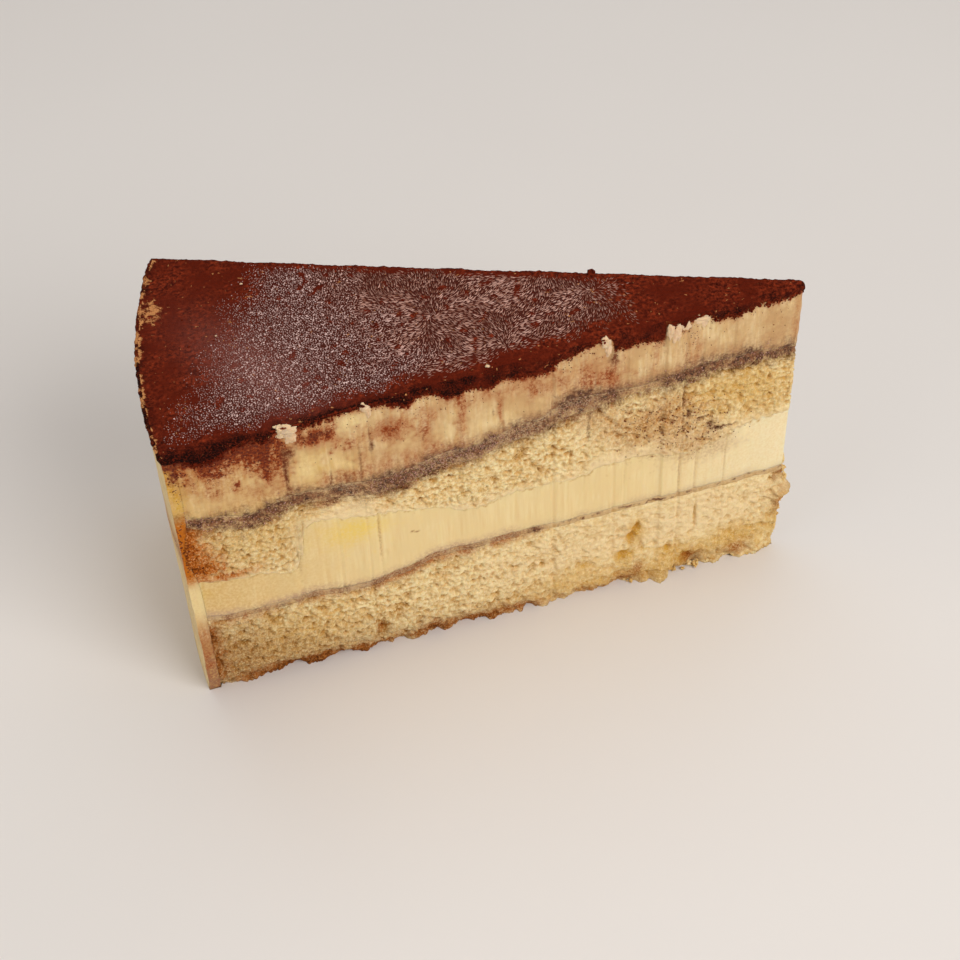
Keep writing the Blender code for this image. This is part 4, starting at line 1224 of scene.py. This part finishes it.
# Hoar frost: clear ice grains tinted by the cocoa below. The eye gets pale,
# pinkish grey glints, brighter at the facets that face the light.
hoar_frost, tree = new_tree("cocoa_tinted_hoar_frost")
pale = add(tree, "ShaderNodeAttribute", {}, attribute_name="pale")["Fac"]
feathered = add(tree, "ShaderNodeAttribute", {}, attribute_name="feathered")["Fac"]
grains = add(tree, "ShaderNodeMix", {0: pale, 6: linear("#875a51"), 7: linear("#dab8af")},
             data_type="RGBA")[2]
feathers = add(tree, "ShaderNodeMix", {0: pale, 6: linear("#8a5643"), 7: linear("#d2a493")},
               data_type="RGBA")[2]
colour = add(tree, "ShaderNodeMix", {0: feathered, 6: grains, 7: feathers}, data_type="RGBA")[2]
surface(tree, {"Base Color": colour, "Roughness": 0.4, "IOR": 1.31})

frost_crystals.data.materials.append(hoar_frost)
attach(frost_crystals, "root")


# ------------------------------------------------------------------ cream tufts
# Where the knife caught the top, it pulled tufts of cream out over the cocoa's
# edge and broke its curtain. Three chips of the same cream lie on the top.


def lump_cloud(name, middles, radii, detail, roughness, marks):
    """One mesh of small lumps: a faceted ball copied to each middle and dented by noise.

    The dents come in three sizes, each half as strong as the one before. marks
    maps the names that the material reads to a number for each lump.
    """
    ball = bmesh.new()
    bmesh.ops.create_icosphere(ball, subdivisions=detail, radius=1.0)
    corners = np.array([corner.co[:] for corner in ball.verts])
    facets = np.array([[corner.index for corner in face.verts] for face in ball.faces])
    ball.free()
    spots = corners[None] * radii[:, None, :]
    own = 7.7 * np.arange(len(middles))[:, None, None]
    dents = (noise(corners[None] * 1.3 + own, 1.0, 171) + 0.5 * noise(corners[None] * 3.1 + own, 1.0, 172)
             + 0.15 * noise(corners[None] * 7.0 + own, 1.0, 173))
    spots = spots * (1 + roughness * dents[..., None]).clip(0.4) + middles[:, None, :]
    spots[..., 2] = spots[..., 2].clip(0.02)
    facets = facets + len(corners) * np.arange(len(middles))[:, None, None]
    spread = {mark: np.repeat(np.broadcast_to(share, len(middles)), len(corners))
              for mark, share in marks.items()}
    return make_piece(name, spots.reshape(-1, 3), [], [facets.reshape(-1, 3)], spread)


def on_front(distance, down, out):
    """Places on the front cut, given as far from the point, below the top and out of the cut."""
    column = edge.on_cut & (edge.side == -1)
    flat = np.stack([np.interp(distance, edge.distance[column][::-1], edge.place[column][::-1, axis])
                     for axis in (0, 1)], -1)
    out = out + knife_path(distance, -np.ones_like(distance))
    flat = flat + out[:, None] * front_normal
    return np.column_stack([flat, top_height(distance) - down])


# Each shred: how far from the point, how far below the top, half its length and height.
SHREDS = np.array([(97.8, 0.9, 1.9, 1.2), (97.5, 2.5, 1.2, 1.7), (99, 0.4, 0.9, 0.8),
                   (98.4, 1.6, 1.5, 1), (83.6, 0.8, 1.1, 0.9), (82.9, 1.8, 0.5, 1.3),
                   (38.4, 1, 1.1, 1.3), (37.9, 2.6, 0.7, 2), (26.1, 2, 0.7, 1.9), (25, 2.8, 1.1, 2.4),
                   (23.3, 1.6, 1.1, 1.3), (20.6, 1.1, 2, 0.9), (19.4, 2, 0.7, 1.5)])
SHRED_DEPTH = 0.55                   # half of how thick a shred is
CHIPS = np.array([(-58.9, -13.6, 0.45), (-103, 17.5, 0.28), (-107.5, 3, 0.22)])
places = np.concatenate([
    on_front(SHREDS[:, 0], SHREDS[:, 1], np.full(len(SHREDS), -0.18)),
    np.column_stack([CHIPS[:, :2], top_height(np.hypot(*CHIPS[:, :2].T)) + 0.3])])
radii = np.concatenate([
    np.column_stack([SHREDS[:, 2], np.full(len(SHREDS), SHRED_DEPTH), SHREDS[:, 3]]),
    CHIPS[:, 2:] * (1.0, 0.6, 0.6)])
cream_tufts = lump_cloud("cream_tufts", places, radii, 4, 0.34, {"pale": 0.9, "dirt": 0.36})
cream_tufts.data.polygons.foreach_set("use_smooth", np.ones(len(cream_tufts.data.polygons), bool))
cream_tufts.data.materials.append(stained_cream)
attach(cream_tufts, "root")


# ------------------------------------------------------------------ cocoa grains
# Grains of the caked powder that came loose: most along the torn edge, some
# strewn or dragged down the front cut, some on the top, and one larger clod.

EDGE_GRAINS, STREWN_GRAINS, DRAGGED_GRAINS, TOP_GRAINS = 2600, 520, 380, 900
along = rng.uniform(0.5, 119, EDGE_GRAINS)
hem = cocoa_reach(along, -np.ones_like(along))
down = hem + rng.normal(0, 0.45, EDGE_GRAINS)
size = rng.uniform(0.08, 0.24, EDGE_GRAINS) * np.where(rng.random(EDGE_GRAINS) < 0.06, 1.8, 1)
edge_grains = on_front(along, down.clip(0.1, 99), 0.15 * (down < hem))
along = rng.uniform(1, 119, STREWN_GRAINS)
down = cocoa_reach(along, -np.ones_like(along)) + rng.exponential(2.6, STREWN_GRAINS).clip(0, 11)
strewn = on_front(along, down, np.zeros(STREWN_GRAINS))
along = rng.normal(24, 6.5, DRAGGED_GRAINS).clip(8, 45)
down = top_height(along) - rng.normal(41.5, 3.6, DRAGGED_GRAINS) - 0.25 * (along - 24)
dragged = on_front(along, down, np.zeros(DRAGGED_GRAINS))
flat = np.column_stack([-rng.uniform(3, 118, TOP_GRAINS), rng.uniform(-1, 1, TOP_GRAINS)])
flat[:, 1] *= -flat[:, 0] * np.tan(HALF_ANGLE) * 0.97
on_top = np.column_stack([flat, top_height(np.hypot(*flat.T)) + cocoa_grain(flat)])
clod = np.array([[-37.4, 9.0, top_height(np.array(38.5)) + 0.5]])
middles = np.concatenate([edge_grains, strewn, dragged, on_top, clod])
size = np.concatenate([size, rng.uniform(0.05, 0.13, STREWN_GRAINS),
                       rng.uniform(0.06, 0.16, DRAGGED_GRAINS),
                       rng.uniform(0.1, 0.3, TOP_GRAINS) * rng.random(TOP_GRAINS) ** 0.5, [0.8]])
cocoa_grains = lump_cloud("cocoa_grains", middles,
                          size[:, None] * rng.uniform(0.7, 1.2, (len(size), 3)), 1, 0.3, {})
cocoa_grains.data.materials.append(cocoa_powder)
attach(cocoa_grains, "root")


# ------------------------------------------------------------------ seam ice
# Fine ice grains that grew in the wet upper seam, thickest under the middle of
# the slice and at the rim.

ICE = ((58, 84, 420), (98, 119, 160), (2, 58, 260))     # from where to where, and how many
along = np.concatenate([rng.uniform(*stretch) for stretch in ICE])
level = knotted_curve(along, UPPER_SEAM) + rng.normal(0.3, 1.3, len(along))
seam_ice = lump_cloud("seam_ice", on_front(along, top_height(along) - level, np.full(len(along), 0.02)),
                      rng.uniform(0.06, 0.13, (len(along), 1)) * np.ones(3), 1, 0.3,
                      {"pale": rng.uniform(0.2, 0.9, len(along)), "feathered": 1.0})
seam_ice.data.materials.append(hoar_frost)
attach(seam_ice, "root")


# ------------------------------------------------------------------ sponge crumbs
# Crumbs of sponge that broke off under the knife: heaps along the torn foot, and
# a few that cling down the frayed point.

# Each heap: how far from the point, how many crumbs, how widely spread, how large.
HEAPS = ((3, 12, 3, 0.45), (9, 8, 3, 0.4), (19, 10, 3.5, 0.4), (30, 8, 4, 0.4))
# Each crumb at the point: its place from the point, and its radius.
POINT_CRUMBS = np.array([(0.6, 0.1, 21.6, 0.45), (0.9, -0.2, 19.6, 0.5), (1.1, 0.3, 17.9, 0.4),
                         (0.4, 0.2, 24.2, 0.5), (0.3, -0.2, 25.3, 0.35), (0.8, 0, 12.6, 0.4),
                         (0.6, 0.2, 10, 0.35), (0.6, -0.1, 8.4, 0.3), (1.1, -0.5, 14.2, 0.35),
                         (0.5, 0.3, 22.9, 0.35), (1.2, -0.1, 16.2, 0.4), (0.9, 0.3, 20.6, 0.3)])
along = np.concatenate([rng.normal(place, wide, many) for place, many, wide, _ in HEAPS]).clip(0.5, 118)
size = np.concatenate([rng.uniform(0.25, 1, many) ** 2 * big for _, many, _, big in HEAPS]) + 0.12
out = rng.normal(0, 0.5, len(along)) - 0.4
down = top_height(along) - size * 1.5 - rng.random(len(along)) ** 3
middles = np.concatenate([on_front(along, down, out.clip(-1.5, 1.2)), POINT_CRUMBS[:, :3]])
size = np.concatenate([size, POINT_CRUMBS[:, 3]])
sponge_crumbs = lump_cloud("sponge_crumbs", middles,
                           size[:, None] * rng.uniform(0.6, 1.3, (len(size), 3)), 3, 1.0,
                           {"honey": rng.uniform(0, 1, len(size))})
sponge_crumbs.data.materials.append(sponge_crumb)
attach(sponge_crumbs, "root")


# ------------------------------------------------------------------ floor, lights and camera
# A plain pale table, a large soft key light from the front right, a weaker fill
# from the left, and the camera that looks down at the front cut.

table = bpy.data.meshes.new("table")
TABLE = 3.0                          # metres from the middle to each side
table.from_pydata([(-TABLE, -TABLE, 0), (TABLE, -TABLE, 0), (TABLE, TABLE, 0), (-TABLE, TABLE, 0)],
                  [], [(0, 1, 2, 3)])
floor = bpy.data.objects.new("table", table)
bpy.context.scene.collection.objects.link(floor)
pale_table, tree = new_tree("pale_table_top")
place = add(tree, "ShaderNodeTexCoord", {})["Object"]
mottle = add(tree, "ShaderNodeTexNoise", {"Vector": place, "Scale": 9.0, "Detail": 2})[0]
colour = add(tree, "ShaderNodeMix", {0: mottle, 6: linear("#e6e0da"), 7: linear("#e2dbd5")},
             data_type="RGBA")[2]
surface(tree, {"Base Color": colour, "Roughness": 0.6})
table.materials.append(pale_table)

for name, place, size, watts in (("key", (0.45, -0.55, 0.62), 0.55, 5.6),
                                 ("fill", (-0.75, -0.35, 0.5), 0.8, 1.6),
                                 ("over", (0.0, 0.35, 0.9), 0.9, 3.0)):
    lamp = bpy.data.lights.new(name, "AREA")
    lamp.size = size
    lamp.energy = watts
    lit = bpy.data.objects.new(name, lamp)
    lit.location = place
    lit.rotation_euler = (-Vector(place)).to_track_quat("-Z", "Y").to_euler()
    bpy.context.scene.collection.objects.link(lit)

world = bpy.data.worlds.new("studio")
world.use_nodes = True
world.node_tree.nodes["Background"].inputs["Color"].default_value = linear("#f4f1ee")
world.node_tree.nodes["Background"].inputs["Strength"].default_value = 0.3
bpy.context.scene.world = world
bpy.context.scene.view_settings.view_transform = "Standard"

# The camera stands at an azimuth and elevation about the target, its up turned by the roll.
CAMERA_DISTANCE = 0.3937
azimuth, elevation, roll = np.radians([-3.0729, 45.0, -2.6642])
back = Vector((np.sin(azimuth) * np.cos(elevation), -np.cos(azimuth) * np.cos(elevation),
               np.sin(elevation)))
right = Vector((np.cos(azimuth), np.sin(azimuth), 0))
above = back.cross(right)
camera_right = right * np.cos(roll) + above * np.sin(roll)
camera_up = above * np.cos(roll) - right * np.sin(roll)
target = Vector((-59.1, 25.2, 0)) + Vector(SLICE_POINT)
lens = bpy.data.cameras.new("camera")
lens.lens = 67.5
lens.sensor_width = 36.0
lens.clip_start = 0.01
camera = bpy.data.objects.new("camera", lens)
turning = Matrix((camera_right, camera_up, back)).transposed().to_4x4()
camera.matrix_world = Matrix.Translation(target * MM + back * CAMERA_DISTANCE) @ turning
bpy.context.scene.collection.objects.link(camera)
bpy.context.scene.camera = camera
